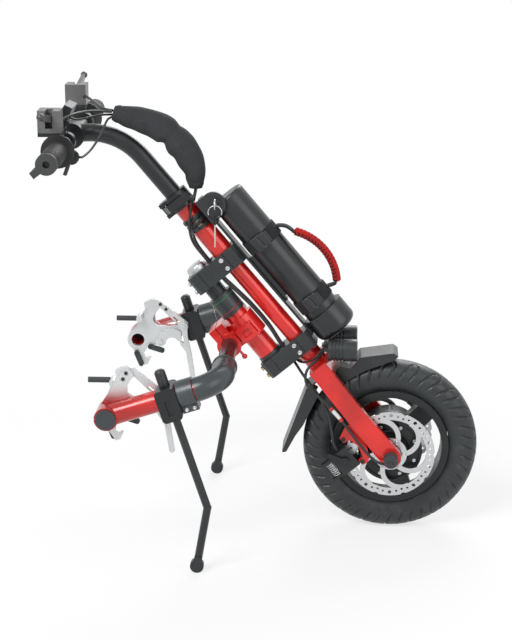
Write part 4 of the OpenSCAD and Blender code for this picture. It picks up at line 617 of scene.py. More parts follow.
def make_finishes(colours):
    """Builds every material of the machine."""
    for make in (grain_effect, scuff_effect, weave_effect, turned_effect, dust_effect):
        make()
    red, black, silver = tuple(colours.red), tuple(colours.black), tuple(colours.silver)
    rubber = tuple(colours.rubber)
    pale = times(silver, 0.92)
    lacquer = {"metallic": 0.2, "coat": 0.35, "specular": 0.5}
    # Red paint: its broad patches at half contrast are partly random tone and partly painted reflection,
    # light and dark swathes standing in for the gloss's reflections
    paint = ((0.16, 0.24), 2600.0, 9.0, 0.04, 0.5, 0.12)
    coated("candy_red", red, *paint, **lacquer)
    coated("satin_black", black, (0.24, 0.34), 1500.0, 14.0, 0.10, 0.3, specular=0.4)
    coated("black_enamel", times(black, 1.3), (0.18, 0.28), 1800.0, 14.0, 0.06, 0.3, 0.04)
    coated("clamp_black", times(black, 1.9), (0.26, 0.36), 1500.0, 14.0, 0.10, 0.3, specular=0.45)
    coated("silver_plate", silver, (0.32, 0.44), 2200.0, 12.0, 0.10, 0.10, 0.2, metallic=0.45)
    coated("bolt_steel", (0.55, 0.56, 0.57), (0.22, 0.34), 1800.0, 30.0, 0.06, 0.2, metallic=1.0)
    coated("bolt_brass", (0.62, 0.47, 0.24), (0.24, 0.36), 1800.0, 30.0, 0.06, 0.2, metallic=1.0)
    coated("bolt_dark", (0.06, 0.06, 0.062), (0.28, 0.40), 1800.0, 30.0, 0.06, 0.2, metallic=0.8)
    coated("rubber_matt", times(rubber, 1.6), (0.60, 0.76), 900.0, 20.0, 0.22, 0.3)
    coated("elbow_rubber", times(rubber, 2.3), (0.26, 0.38), 900.0, 9.0, 0.22, 0.5)
    coated("moulded", times(black, 1.5), (0.28, 0.40), 1700.0, 20.0, 0.16, 0.25)
    coated("gloss_case", times(black, 1.1), (0.26, 0.34), 1500.0, 12.0, 0.06, 0.25)
    coated("cell_wrap", (0.05, 0.12, 0.42), (0.40, 0.50), 600.0, 16.0, 0.05)
    coated("copper_wire", (0.62, 0.26, 0.12), (0.30, 0.42), 500.0, 20.0, 0.2, metallic=1.0)
    coated("cable_jacket", (0.022, 0.023, 0.024), (0.34, 0.48), 1200.0, 26.0, 0.12, 0.3, specular=0.4)
    coated("cable_sleeve_white", (0.66, 0.67, 0.66), (0.40, 0.52), 900.0, 26.0, 0.08, 0.12)
    coated("cable_band_red", (0.50, 0.03, 0.02), (0.40, 0.52), 900.0, 26.0, 0.08, 0.12)
    coated("line_green", (0.02, 0.26, 0.08), (0.30, 0.40), 900.0, 26.0, 0.05, metallic=0.3)
    coated("line_red", (0.50, 0.02, 0.02), (0.30, 0.40), 900.0, 26.0, 0.05, metallic=0.3)
    coated("led_orange", (0.80, 0.18, 0.02), (0.16, 0.24), 900.0, 26.0, 0.03, coat=0.6)
    coated("led_yellow", (0.80, 0.46, 0.03), (0.16, 0.24), 900.0, 26.0, 0.03, coat=0.6)
    coated("screen", (0.010, 0.012, 0.014), (0.06, 0.12), 300.0, 16.0, 0.01, 0.4, coat=0.6)
    glass = {"coat": 1.0, "coat_rough": 0.03}
    coated("lamp_lens", (0.50, 0.54, 0.56), (0.05, 0.10), 300.0, 20.0, 0.02, 0.1, **glass)
    coated("lamp_rim", (0.10, 0.103, 0.106), (0.20, 0.30), 1500.0, 20.0, 0.05, 0.2, metallic=0.7)

    # Levers and perches: pale castings over dark clamps
    cast = (1500.0, 16.0, 0.14, 0.2, 0.2)
    tree, shader = coated("perch_cast", (0.13, 0.132, 0.13), (0.34, 0.46), *cast, metallic=0.3)
    dark = height_mask(tree, PIVOT_RIGHT.z - 20 * MM, PIVOT_RIGHT.z - 23 * MM)
    repaint(tree, shader, dark, times(black, 1.1))
    coated("lever_cast", (0.075, 0.077, 0.078), (0.28, 0.40), 1500.0, 16.0, 0.10, 0.2, 0.2, metallic=0.4)

    # Docking arms fade from red to bare metal up their gussets; their red is darkened to 0.85 of the fork's
    # red as painted shade
    tree, shader = coated("arm_paint", times(red, 0.85), *paint, **lacquer)
    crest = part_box("jaw_right")[1].z
    top = height_mask(tree, crest - 10 * MM, crest + 30 * MM)
    parts = put(tree, "ShaderNodeSeparateXYZ", [("Vector", object_place(tree))])
    out = sum_of(tree, "ABSOLUTE", parts.outputs["Y"], 0.0)
    skin = ramp(tree, out, GUSSET_OUT + 0.8 * MM, GUSSET_OUT + 0.2 * MM)
    repaint(tree, shader, sum_of(tree, "MULTIPLY", top, skin), pale)

    # Calipers: black bodies, bright return springs
    tree, shader = coated("caliper_body", black, (0.34, 0.48), 1500.0, 16.0, 0.14, 0.3)
    column_turn = (0.0, RAKE, 0.0)
    turned = put(tree, "ShaderNodeMapping", [("Vector", object_place(tree))], Rotation=column_turn)
    parts = put(tree, "ShaderNodeSeparateXYZ", [("Vector", turned.outputs[0])])
    rest = Matrix.Rotation(RAKE, 3, "Y") @ column_place(*COIL_PLACE)
    back = ramp(tree, parts.outputs["X"], rest.x, rest.x - 2 * COIL_EDGE)
    off = sum_of(tree, "ABSOLUTE", sum_of(tree, "SUBTRACT", parts.outputs["Z"], rest.z), 0.0)
    coil = sum_of(tree, "MULTIPLY", back, ramp(tree, off, COIL_HALF + COIL_EDGE, COIL_HALF - COIL_EDGE))
    repaint(tree, shader, coil, (0.62, 0.63, 0.63))
    tree.links.new(coil, shader.inputs["Metallic"])

    # Key ring with a spare key: black bow, bright blade
    bright = ((0.24, 0.36), 1500.0, 30.0, 0.06, 0.2, 0.2)
    tree, shader = coated("key_metal", (0.60, 0.61, 0.61), *bright, metallic=0.8)
    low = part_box("key_ring")[0].z
    foot = height_mask(tree, low + 40 * MM, low + 40.4 * MM)
    head = height_mask(tree, low + 57.8 * MM, low + 57.4 * MM)
    repaint(tree, shader, sum_of(tree, "MULTIPLY", foot, head), black)

    # Brake rotors and axle: turned steel
    for name, tint in (("rotor_steel", (0.60, 0.61, 0.62)), ("turned_steel", (0.52, 0.53, 0.54))):
        tree, shader = new_finish(name, metallic=1.0)
        lines = use(tree, "turned lines", Centre=AXLE)
        surface = use(tree, "grain", Scale=1200.0, Patch=24.0)
        shade = mix_colours(tree, lines.outputs["Height"], times(tint, 0.82), times(tint, 1.15))
        tree.links.new(shade, shader.inputs["Base Color"])
        gloss = ramp(tree, surface.outputs["Patches"], 0.0, 1.0, 0.24, 0.36)
        tree.links.new(gloss, shader.inputs["Roughness"])
        bump(tree, shader, lines.outputs["Height"], 0.10, 0.3 * MM)

    # Tyre: dull rubber, dusty towards the floor
    tree, shader = coated("tyre_rubber", times(rubber, 0.8), (0.36, 0.50), 1100.0, 26.0, 0.14, 0.3)
    dust = use(tree, "floor dust", Top=0.34)
    soft = sum_of(tree, "MULTIPLY", dust.outputs["Dust"], 0.22)
    repaint(tree, shader, soft, (0.10, 0.098, 0.095))

    # Grips: moulded rubber with rings round the barrel, the grooves between the rings painted near black as
    # painted shade
    tree, shader = coated("grip_rubber", (0.040, 0.041, 0.041), (0.46, 0.60), 1300.0, 22.0, 0.2, 0.25)
    ring = put(tree, "ShaderNodeTexWave", [("Vector", object_place(tree))], bands_direction="Y", Scale=48.0)
    repaint(tree, shader, ramp(tree, ring.outputs["Fac"], 0.55, 0.15), (0.012, 0.012, 0.012))
    bump(tree, shader, ring.outputs["Fac"], 0.9, 1.6 * MM)

    # Soft goods
    for name, tint, scale, strength, sheen in (
        ("neoprene_knit", (0.040, 0.043, 0.046), 330.0, 0.25, 0.02),
        ("nylon_webbing", (0.024, 0.025, 0.027), 190.0, 0.55, 0.04),
        ("cord_black", (0.012, 0.012, 0.013), 420.0, 0.6, 0.05),
        ("cord_red", tuple(colours.cord_red), 420.0, 0.6, 0.05),
    ):
        tree, shader = new_finish(name, sheen=sheen, specular=0.2)
        yarn = use(tree, "weave", Turn=column_turn, Scale=scale)
        surface = use(tree, "grain", Scale=700.0, Patch=30.0)
        cloth = mix_colours(tree, yarn.outputs["Yarn"], times(tint, 0.6), times(tint, 1.25))
        fade = sum_of(tree, "MULTIPLY", surface.outputs["Patches"], 0.3)
        tree.links.new(mix_colours(tree, fade, cloth, times(tint, 1.6)), shader.inputs["Base Color"])
        gloss = ramp(tree, surface.outputs["Patches"], 0.0, 1.0, 0.78, 0.92)
        tree.links.new(gloss, shader.inputs["Roughness"])
        bump(tree, shader, yarn.outputs["Height"], strength, 0.5 * MM)


NODE_FINISH = {
    "candy_red": ("fork", "column_tube", "head_tube", "docking_bracket"),
    "arm_paint": ("dock_arms",),
    "satin_black": (
        "rim", "hub_covers", "handlebar", "stem_collar", "stem_lever",
        "battery_rail", "stand_boxes", "caliper_arm_right", "caliper_arm_left",
    ),
    "clamp_black": ("column_clamps", "steering_damper", "headlights"),
    "black_enamel": ("cross_tube", "stand_leg_right", "stand_leg_left"),
    "caliper_body": ("calipers",),
    "silver_plate": (
        "hook_plates", "jaw_right", "jaw_left", "release_lever_right", "release_lever_left",
    ),
    "rotor_steel": ("brake_rotors",),
    "turned_steel": ("axle", "hub_bearings", "spindle", "headset_bearings"),
    "bolt_steel": ("clamp_bolts", "rotor_bolts"),
    "key_metal": ("key", "key_ring"),
    "tyre_rubber": ("stand_roller_right", "stand_roller_left"),
    "rubber_matt": ("hook_pads", "axle_caps"),
    "elbow_rubber": ("dock_elbows",),
    "grip_rubber": ("grips",),
    "moulded": (
        "fenders", "lock_housing", "throttle_pod", "throttle_paddle", "display",
        "power_button", "stand_knob_right", "stand_knob_left",
    ),
    "perch_cast": ("brake_perches",),
    "lever_cast": ("brake_lever_right", "brake_lever_left"),
    "gloss_case": ("battery_case",),
    "cell_wrap": ("battery_cells",),
    "copper_wire": ("motor_stator",),
}


class ASSIST_OT_finishes(bpy.types.Operator):
    """Builds the materials and lays them on the frame's solids"""

    bl_idname = "assist.finishes"
    bl_label = "Finishes"

    def execute(self, context):
        make_finishes(context.scene.assist_colours)
        for label, names in NODE_FINISH.items():
            for name in names:
                solid = frame["nodes"][name]
                if not solid.material_slots:
                    solid.data.materials.append(None)
                for slot in solid.material_slots:
                    slot.material = bpy.data.materials[label]
        return {"FINISHED"}


# Stage sizes in metres: the floor, its fall below the machine and the lamps' aim, places and widths
FLOOR_SIZE = 60.0
FLOOR_GAP = 0.4 * MM
SENSOR = 36.0
FAR = 100.0
LAMP_AIM = Vector((0, 0, 0.4))
LAMP_PLACES = {
    "key": ((-1.5, -2.4, 3.0), 1.6),
    "fill": ((2.4, -2.2, 1.7), 2.2),
    "back": ((0.6, 2.6, 2.4), 2.0),
}
WHITE = (1.0, 1.0, 1.0, 1.0)


class ASSIST_OT_stage(bpy.types.Operator):
    """Sets the camera, the pale floor and the studio light"""

    bl_idname = "assist.stage"
    bl_label = "Stage"

    def execute(self, context):
        sizes = context.scene.assist_camera
        scene = context.scene
        scene.view_settings.view_transform = "Standard"
        turn, dip = sizes.azimuth, sizes.elevation
        look = Vector((-math.sin(turn) * math.cos(dip), math.cos(turn) * math.cos(dip), -math.sin(dip)))
        side = Vector((math.cos(turn), math.sin(turn), 0))
        lens = bpy.data.cameras.new("photo_camera")
        lens.lens = sizes.lens
        lens.sensor_width = SENSOR
        lens.sensor_fit = "AUTO"
        lens.clip_end = FAR
        camera = bpy.data.objects.new("photo_camera", lens)
        scene.collection.objects.link(camera)
        camera.matrix_world = basis(Vector(sizes.aim), -look, side)
        scene.camera = camera

        begin()
        bpy.ops.mesh.primitive_plane_add(size=FLOOR_SIZE, location=(0, 0, CAD_BOX[0][2] - FLOOR_GAP))
        floor = context.object
        floor.name = "floor"
        edit_all()
        bpy.ops.mesh.subdivide(number_cuts=3)
        bpy.ops.object.mode_set(mode="OBJECT")
        floor.data.materials.append(self.floor_finish())

        world = bpy.data.worlds.new("studio")
        scene.world = world
        world.use_nodes = True
        tree = world.node_tree
        tree.nodes.clear()
        sky = put(tree, "ShaderNodeBackground", Color=WHITE)
        tree.links.new(ramp(tree, seen_directly(tree), 0.0, 1.0, sizes.sky, 1.0), sky.inputs["Strength"])
        out = tree.nodes.new("ShaderNodeOutputWorld")
        tree.links.new(sky.outputs[0], out.inputs["Surface"])

        for name, (place, wide) in LAMP_PLACES.items():
            lamp = bpy.data.lights.new(name + "_lamp", "AREA")
            lamp.energy = getattr(sizes, name)
            lamp.size = wide
            stand = bpy.data.objects.new(name + "_lamp", lamp)
            scene.collection.objects.link(stand)
            stand.matrix_world = basis(Vector(place), Vector(place) - LAMP_AIM)
        return {"FINISHED"}

    def floor_finish(self):
        """Pale floor that is white to the camera apart from the shadow."""
        material = bpy.data.materials.new("floor_pale")
        material.use_nodes = True
        tree = material.node_tree
        tree.nodes.clear()
        surface = use(tree, "grain", Scale=40.0, Patch=2.0)
        tint = mix_colours(tree, surface.outputs["Patches"], (0.93, 0.93, 0.93), (0.95, 0.95, 0.95))
        away = put(tree, "ShaderNodeVectorMath", [("Vector", object_place(tree))], operation="LENGTH")
        glow = ramp(tree, away.outputs["Value"], 0.5, 1.5, 0.70, 1.0)
        matt = put(tree, "ShaderNodeBsdfDiffuse", [("Color", tint)])
        white = put(tree, "ShaderNodeEmission", Color=WHITE)
        share = sum_of(tree, "MULTIPLY", seen_directly(tree), glow)
        blend = put(tree, "ShaderNodeMixShader", [(0, share), (1, matt.outputs[0]), (2, white.outputs[0])])
        out = tree.nodes.new("ShaderNodeOutputMaterial")
        tree.links.new(blend.outputs[0], out.inputs["Surface"])
        return material


# Cords: the same routes as the solids, in millimetres. A bar run gives a mark, which is the bar (0) or
# the sleeve's mouth (1), and a place from it. A column run gives ahead, across, a mark and height above it
LEVER_RUN = (
    (0, 2, 129.3, 46), (0, 9, 110, 50), (0, 22, 75, 50), (0, 36, 44, 48), (1, -20, 15, 5),
    (1, -1.5, 6.5, 3),
)
THROTTLE_RUN = (
    (0, 33.6, -146.5, -13), (0, 37.6, -133, -14.6), (0, 47, -100, -8), (0, 58, -60, 10),
    (1, -8, -24, -10), (1, -1.5, -7, -6),
)
DISPLAY_RUN = (
    (0, 7.2, -70, 40.8), (0, 18, -58, 36), (0, 34, -38, 36), (1, -20, -12, -2), (1, -1.5, 0, -3),
)
COLUMN_MARKS = (178.0, 235.0, 275.0, 372.3, 436.3, 577.3, 67.0, 0.0)
BRAKE_RUN = (
    (32, 5, 5, 11), (27.6, 16, 5, 7), (19, 23.5, 5, 1), (7.5, 27.6, 5, -8), (-8, 28, 5, -22.5),
    (-23, 22, 5, -41), (-32.5, 13, 5, -62), (-35, 8.5, 4, 50), (-35, 8, 4, -4), (-33, 8, 3, 40),
    (-28, 8, 2, 88), (-28, 8, 2, 40), (-33, 8, 2, 2), (-34.3, 7.8, 1, 23), (-34.5, 8.2, 1, 11),
    (-34.4, 10.4, 1, 0.5), (-34, 16.6, 1, -7.4), (-33.3, 25, 1, -13.2), (-32.2, 35.5, 1, -20),
    (-31, 45.6, 0, 28), (-30.4, 53, 0, 10), (-31, 58, 0, -12), (-38, 64, 0, -46), (-54.5, 70, 6, 33),
    (-64, 72.6, 6, 17), (-68, 73, 6, 0.6),
)
LEAD_RUN = (
    (-35, 0, 4, 32), (-35, 0, 4, -4), (-33, 0, 3, 40), (-28, 0, 2, 88), (-28, 0, 2, 40), (-32, 0, 2, 4),
    (-32.5, -0.5, 1, 20), (-32, -3, 1, 8), (-29.6, -8.5, 1, -2), (-24.5, -16, 1, -9.5),
    (-15.5, -22.5, 1, -14.5), (-4, -26, 1, -17), (7.5, -25, 1, -17), (17.5, -19.5, 1, -15.5),
    (27.1, -12.6, 1, -14.5),
)
MOTOR_RUN = (
    (27.1, -23, 1, -14), (20, -29.5, 1, -16.2), (12.6, -37.5, 1, -17.6), (4.2, -45.6, 1, -17.8),
    (-5.6, -52.6, 1, -16.8), (-16.6, -57.2, 1, -18.9), (-26.6, -59.4, 1, -26), (-32.8, -60.9, 1, -37),
    (-33.8, -62.3, 1, -51), (-31, -64.4, 0, -12), (-27.6, -68.2, 0, -36), (-25.3, -75.5, 0, -68),
    (-25.5, -84, 7, 72), (-25.5, -90.5, 7, 40), (-23, -94.8, 7, 21), (-18.6, -96, 7, 9),
    (-12.7, -96, 7, 1),
)
CORD_STEPS = 8
# Sleeves on the motor cable: top and foot up the column, radius and finish
MOTOR_LABEL = (
    ("cable_label", 132.0, 112.0, 3.7, "cable_sleeve_white"),
    ("cable_label_top", 138.0, 131.0, 3.9, "cable_band_red"),
    ("cable_label_foot", 113.0, 106.0, 3.9, "cable_band_red"),
)
LABEL_SIDES = 24
LABEL_STEPS = 40
LABEL_END_SHARE = 0.86
# The padded sleeve: its size, its foot up the column, and shares of its size ahead, up and across
SLEEVE_LENGTH = 200.0
SLEEVE_FOOT = 607.3
SLEEVE_SHARES = (
    (0.040, 0.885, 0.060), (0.080, 0.830, 0.085), (0.130, 0.760, 0.100), (0.190, 0.680, 0.115),
    (0.245, 0.590, 0.125), (0.290, 0.490, 0.130), (0.310, 0.380, 0.130), (0.320, 0.265, 0.130),
    (0.300, 0.150, 0.125), (0.265, 0.045, 0.105), (0.215, -0.030, 0.080), (0.165, -0.090, 0.055),
)


def bar_route(run, mirror=1):
    """A run from the bar to the sleeve's mouth, in metres."""
    ahead, up = SLEEVE_SHARES[0][0] * SLEEVE_LENGTH, SLEEVE_SHARES[0][1] * SLEEVE_LENGTH
    marks = (BAR, column_place(ahead, 0, SLEEVE_FOOT + up))
    return [marks[m] + MM * Vector((x, y * mirror, z)) for m, x, y, z in run]


def column_route(run, mirror=1):
    """A run down the column, in metres."""
    return [column_place(q, y * mirror, COLUMN_MARKS[m] + s) for q, y, m, s in run]


class ASSIST_OT_cords(bpy.types.Operator):
    """Lays the brake, throttle, display and motor cables along their routes"""

    bl_idname = "assist.cords"
    bl_label = "Cables"

    def execute(self, context):
        runs = (
            ("cable_lever_left", bar_route(LEVER_RUN), 5.0),
            ("cable_lever_right", bar_route(LEVER_RUN, -1), 5.0),
            ("cable_throttle", bar_route(THROTTLE_RUN), 4.0),
            ("cable_display", bar_route(DISPLAY_RUN), 4.0),
            ("cable_brake_left", column_route(BRAKE_RUN), 5.0),
            ("cable_brake_right", column_route(BRAKE_RUN, -1), 5.0),
            ("cable_lead", column_route(LEAD_RUN), 4.0),
            ("cable_motor", column_route(MOTOR_RUN), 5.0),
        )
        for name, route, diameter in runs:
            line = spline(route, CORD_STEPS)
            curve = bpy.data.curves.new(name, "CURVE")
            curve.dimensions = "3D"
            curve.bevel_depth = diameter / 2 * MM
            curve.bevel_resolution = 4
            curve.use_fill_caps = True
            path = curve.splines.new("POLY")
            path.points.add(len(line) - 1)
            for point, place in zip(path.points, line):
                point.co = (*place, 1.0)
            piece = bpy.data.objects.new(name, curve)
            context.scene.collection.objects.link(piece)
            dress(piece, name, "steering", "cable_jacket", ("cables",))
            labels = self.labels(spline(route, LABEL_STEPS)) if name == "cable_motor" else []
        return {"FINISHED"}

    def labels(self, line):
        """A pale shrink sleeve with red ends along a stretch of the motor cable."""
        made = []
        turns = [2 * math.pi * k / LABEL_SIDES for k in range(LABEL_SIDES)]
        rim = [Vector((math.cos(turn), math.sin(turn), 0)) for turn in turns]
        for name, top, foot, radius, finish in MOTOR_LABEL:
            stretch = [p for p in line if foot * MM <= (p - AXLE).dot(UP_COLUMN) <= top * MM]
            rows = []
            for i, place in enumerate(stretch):
                along = stretch[min(i + 1, len(stretch) - 1)] - stretch[max(i - 1, 0)]
                ring = basis(place, along)
                end = LABEL_END_SHARE if i in (0, len(stretch) - 1) else 1.0
                reach = radius * end * MM
                rows.append([ring @ (spot * reach) for spot in rim])
            piece = grid_piece(name, rows)
            made.append(dress(piece, name, "steering", finish, ("cables",), 50))
        return made


def level(value):
    """A value held between nought and one."""
    return min(1.0, max(0.0, value))


# Tyre section: half its height in millimetres, its roundness, its points and its sweep in degrees
TYRE_DEEP = 29.5
TYRE_POWER = 2.4
TYRE_POINTS = 46
TYRE_SWEEP = 268
# Grooves, in degrees down from the crown: their foot, lean, and where pairs part and edges fade
GROOVE_FOOT = 104
GROOVE_LEAN, LEAN_POWER = 0.42, 1.7
PAIR_SPREAD, PAIR_FROM, PAIR_OVER = 0.25, 11, 26
WALL_SHARE = 0.03
FADE_TOP, FADE_IN, FADE_FOOT, FADE_OUT = 9, 4, 98, 16


class ASSIST_OT_tyre(bpy.types.Operator):
    """Spins the tyre and presses curved grooves into its shoulders"""

    bl_idname = "assist.tyre"
    bl_label = "Tyre"

    def execute(self, context):
        sizes = context.scene.assist_tyre
        low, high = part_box("tyre")
        half = (high.y - low.y) / 2 / MM
        crown = (high.z - low.z) / 2 / MM
        middle = crown - TYRE_DEEP
        round_by = 2 / TYRE_POWER
        line = []
        for i in range(TYRE_POINTS + 1):
            a = math.radians(TYRE_SWEEP / 2 - TYRE_SWEEP * i / TYRE_POINTS)
            radius = middle + math.copysign(TYRE_DEEP * abs(math.cos(a)) ** round_by, math.cos(a))
            line.append((radius, math.copysign(half * abs(math.sin(a)) ** round_by, math.sin(a))))
        piece = lathe(line, sizes.steps, closed=True)
        for vertex in piece.data.vertices:
            across = vertex.co.z / MM
            rise = (math.hypot(vertex.co.x, vertex.co.y) / MM - middle) / TYRE_DEEP
            high = math.copysign(abs(rise) ** (TYRE_POWER / 2), rise)
            down = math.degrees(math.atan2((abs(across) / half) ** (TYRE_POWER / 2), high))
            if down > GROOVE_FOOT:
                continue
            turn = math.atan2(vertex.co.y, vertex.co.x) / (2 * math.pi) * sizes.grooves
            lean = GROOVE_LEAN * (down / 90) ** LEAN_POWER
            phase = (turn + lean + (0.5 if across > 0 else 0.0)) % 1.0
            spread = PAIR_SPREAD * math.sqrt(level((down - PAIR_FROM) / PAIR_OVER))
            off = abs(abs(phase - 0.5) - spread)
            cut = level((sizes.width / 2 - off) / WALL_SHARE + 0.5)
            edge = level((down - FADE_TOP) / FADE_IN) * level((FADE_FOOT - down) / FADE_OUT)
            out = Vector((vertex.co.x, vertex.co.y, 0)).normalized()
            slope = math.radians(down)
            inward = out * math.cos(slope) + Vector((0, 0, math.copysign(math.sin(slope), across)))
            vertex.co -= inward * sizes.depth * cut * edge
        settle(piece, WHEEL)
        dress(piece, "tyre_tread", "wheel", "tyre_rubber", ("tyre",), 32)
        return {"FINISHED"}


def bell(value, middle, width):
    """A smooth hump of height one."""
    return math.exp(-(((value - middle) / width) ** 2))


# Sleeve folds: waves along and round it, then its crease, seam and cuffs in shares and millimetres
SLEEVE_STEPS, SLEEVE_SIDES = 12, 64
FOLD_WAVES, FOLD_SWAY, FOLD_DRIFT, FOLD_NOISE, FOLD_SHARE = 34, 1.4, 9, 1.6, 0.5
CREASE_AT, CREASE_WIDE, CREASE_DEEP = 0.52, 0.03, 3.0
SEAM_AT, SEAM_WIDE, SEAM_DEEP = math.pi * 1.06, 0.08, 1.6
END_SHARE, CUFF_TOP, CUFF_FOOT, CUFF_THICK = 0.06, 0.07, 0.94, 0.9
SKIN_IN = 0.5


class ASSIST_OT_sleeve(bpy.types.Operator):
    """Fills out the padded cable sleeve with its folds, crease and bound ends"""

    bl_idname = "assist.sleeve"
    bl_label = "Cable sleeve"

    def execute(self, context):
        sizes = context.scene.assist_soft
        stations = [
            (Vector((q, 0, SLEEVE_FOOT / SLEEVE_LENGTH + s)) * SLEEVE_LENGTH, r * SLEEVE_LENGTH)
            for q, s, r in SLEEVE_SHARES
        ]
        line = spline([place for place, radius in stations], SLEEVE_STEPS)
        width = [v.x for v in spline([Vector((radius, 0, 0)) for place, radius in stations], SLEEVE_STEPS)]
        rows = []
        for i, (place, radius) in enumerate(zip(line, width)):
            share = i / (len(line) - 1)
            along = (line[min(i + 1, len(line) - 1)] - line[max(i - 1, 0)]).normalized()
            out = ACROSS.cross(along).normalized()
            if out.x < 0:
                out.negate()
            ends = min(1.0, share / END_SHARE, (1 - share) / END_SHARE)
            cuff = CUFF_THICK if share < CUFF_TOP or share > CUFF_FOOT else 0.0
            flat = 0.94 if 0.15 < share < 0.85 else 0.97
            row = []
            for k in range(SLEEVE_SIDES):
                turn = 2 * math.pi * k / SLEEVE_SIDES
                sway = FOLD_SWAY * math.sin(turn * 2 + share * FOLD_DRIFT)
                fold = math.sin(share * FOLD_WAVES + sway) * FOLD_SHARE
                round_by = Vector((0, math.cos(turn), math.sin(turn))) * FOLD_NOISE
                fold += noise.noise(Vector((share * FOLD_DRIFT, 0, 0)) + round_by)
                inner = max(0.0, -math.cos(turn))
                fold *= sizes.sleeve_fold / MM * ends * (0.5 + 0.9 * inner)
                crease = bell(share, CREASE_AT, CREASE_WIDE) * (0.8 + inner) * CREASE_DEEP
                seam = bell(turn, SEAM_AT, SEAM_WIDE) * SEAM_DEEP * ends
                reach = radius + fold - crease - seam + cuff - SKIN_IN
                row.append(place + (out * math.cos(turn) + ACROSS * math.sin(turn) * flat) * reach)
            rows.append([COLUMN @ (spot * MM) for spot in row])
        piece = grid_piece("sleeve_padded", rows)
        mod = piece.modifiers.new("Round", "SUBSURF")
        mod.levels = mod.render_levels = 1
        pick(piece)
        bpy.ops.object.modifier_apply(modifier="Round")
        dress(piece, "sleeve_padded", "steering", "neoprene_knit", ("cable_sleeve",), 60)
        return {"FINISHED"}


# Battery straps and handle, in millimetres from the battery's axis and up the column
BATTERY_AHEAD = 66.0
STRAP_R = 32.8
STRAP_W = 26.0
STRAP_UP = (303.05, 446.15)
STRAP_RIBS = 11
RIB_DEEP, HEM_DEEP = 0.35, 0.5
STRAP_SIDES = 96
LINK_STEPS = 14
LINK_NEXT = 0.01
LINK_ROOT, LINK_END, LINK_RISE = 34.4, 51.5, 1.2
LINK_BOW, LINK_SAG = 4.0, 3.0
LINK_SECTION = (
    (-10, -1.3), (-9, -1.7), (9, -1.7), (10, -1.3), (10, 1.3), (9, 1.7), (-9, 1.7), (-10, 1.3),
)
# Blocks of a buckle: size, place and rounding
BUCKLE_BLOCKS = (
    ((17, 6.4, 29), (-6.5, 0, 0), 2.0),
    ((13, 4.6, 26), (8.5, 0.3, 0), 1.6),
    ((5, 6.8, 5.5), (2.2, 0, 12.2), 1.4),
    ((5, 6.8, 5.5), (2.2, 0, -12.2), 1.4),
    ((2.2, 1.6, 24), (-11.5, -3.4, 0), 0.6),
    ((2.2, 1.6, 24), (-7.5, -3.4, 0), 0.6),
    ((2.2, 1.6, 24), (-3.5, -3.4, 0), 0.6),
    ((9, 1.8, 21), (15.0, 1.2, 0), 0.7),
)
BUCKLE_OUT = 37.4
HANDLE_R = 100.0
HANDLE_HALF = math.asin(0.6)
HANDLE_AHEAD = -27.5
HANDLE_UP = 358.38
HANDLE_D = 18.0
HANDLE_REACH = 60
# Braid: facets, then the lean, ridge and groove of its knots and the black line, as shares
BRAID_SIDES, BRAID_STEPS = 40, 12
KNOT_LEAN, KNOT_ROUND = 0.275, 0.6
BRAID_CORE, BRAID_RIDGE, BRAID_GROOVE, GROOVE_WIDE = 0.80, 0.20, 0.04, 0.2
BRAID_FLAT = 0.92
TIP_SHARE, TIP_OVER = 0.03, 0.012
ZIGZAG_HIGH, ZIGZAG_OFF, ZIGZAG_HALF = 0.34, 0.10, 0.12
INSIDE_AT, GAP_SHARE = -0.74, 0.24


def battery_placing(up):
    """A placing on the battery's axis at a height up the column."""
    return COLUMN @ Matrix.Translation(Vector((BATTERY_AHEAD, 0, up)) * MM)


def battery_spot(place):
    """A place given in millimetres from the battery's axis."""
    return COLUMN @ ((place + Vector((BATTERY_AHEAD, 0, 0))) * MM)


class ASSIST_OT_straps(bpy.types.Operator):
    """Wraps the webbing straps round the battery, with their links and buckles"""

    bl_idname = "assist.straps"
    bl_label = "Battery straps"

    def execute(self, context):
        thick = context.scene.assist_soft.strap_thick / MM
        half, last = STRAP_W / 2, 2 * STRAP_RIBS
        line = [(STRAP_R, -half), (STRAP_R, half)]
        for i in range(last + 1):
            dip = HEM_DEEP if i in (0, last) else RIB_DEEP * (i % 2)
            line.append((STRAP_R + thick - dip, half - STRAP_W * i / last))
        made = [copies(lathe(line, STRAP_SIDES, closed=True), map(battery_placing, STRAP_UP), "bands")]
        for up, way in zip(STRAP_UP, (-1, 1)):
            start = Vector((LINK_ROOT, 0, up))
            end = Vector((LINK_END, 0, HANDLE_UP + way * (HANDLE_REACH - LINK_RISE)))
            bow = Vector((LINK_BOW, 0, way * LINK_SAG))
            rows = []
            for i in range(LINK_STEPS + 1):
                near, far = (
                    start.lerp(end, t) + bow * math.sin(math.pi * t)
                    for t in (i / LINK_STEPS, i / LINK_STEPS + LINK_NEXT)
                )
                side = ACROSS.cross(far - near).normalized()
                rows.append([battery_spot(near + side * z + ACROSS * y) for y, z in LINK_SECTION])
            made.append(grid_piece("link", rows))
        webbing = joined(made, "strap_webbing")
        dress(webbing, "strap_webbing", "battery", "nylon_webbing", ("battery_straps",), 30)
        buckles = [self.buckle(up) for up in STRAP_UP]
        piece = joined(buckles, "strap_buckles")
        dress(piece, "strap_buckles", "battery", "moulded", ("battery_straps",))
        return {"FINISHED"}

    def buckle(self, up):
        """A side-release buckle: body, two prongs, ribs and a tail of webbing."""
        parts = []
        for size, place, round_by in BUCKLE_BLOCKS:
            block = rounded_block(size, round_by)
            block.matrix_world = Matrix.Translation(Vector(place) * MM)
            parts.append(block)
        piece = joined(parts, "buckle")
        return settle(piece, battery_placing(up) @ Matrix.Translation(Vector((0, -BUCKLE_OUT, 0)) * MM))


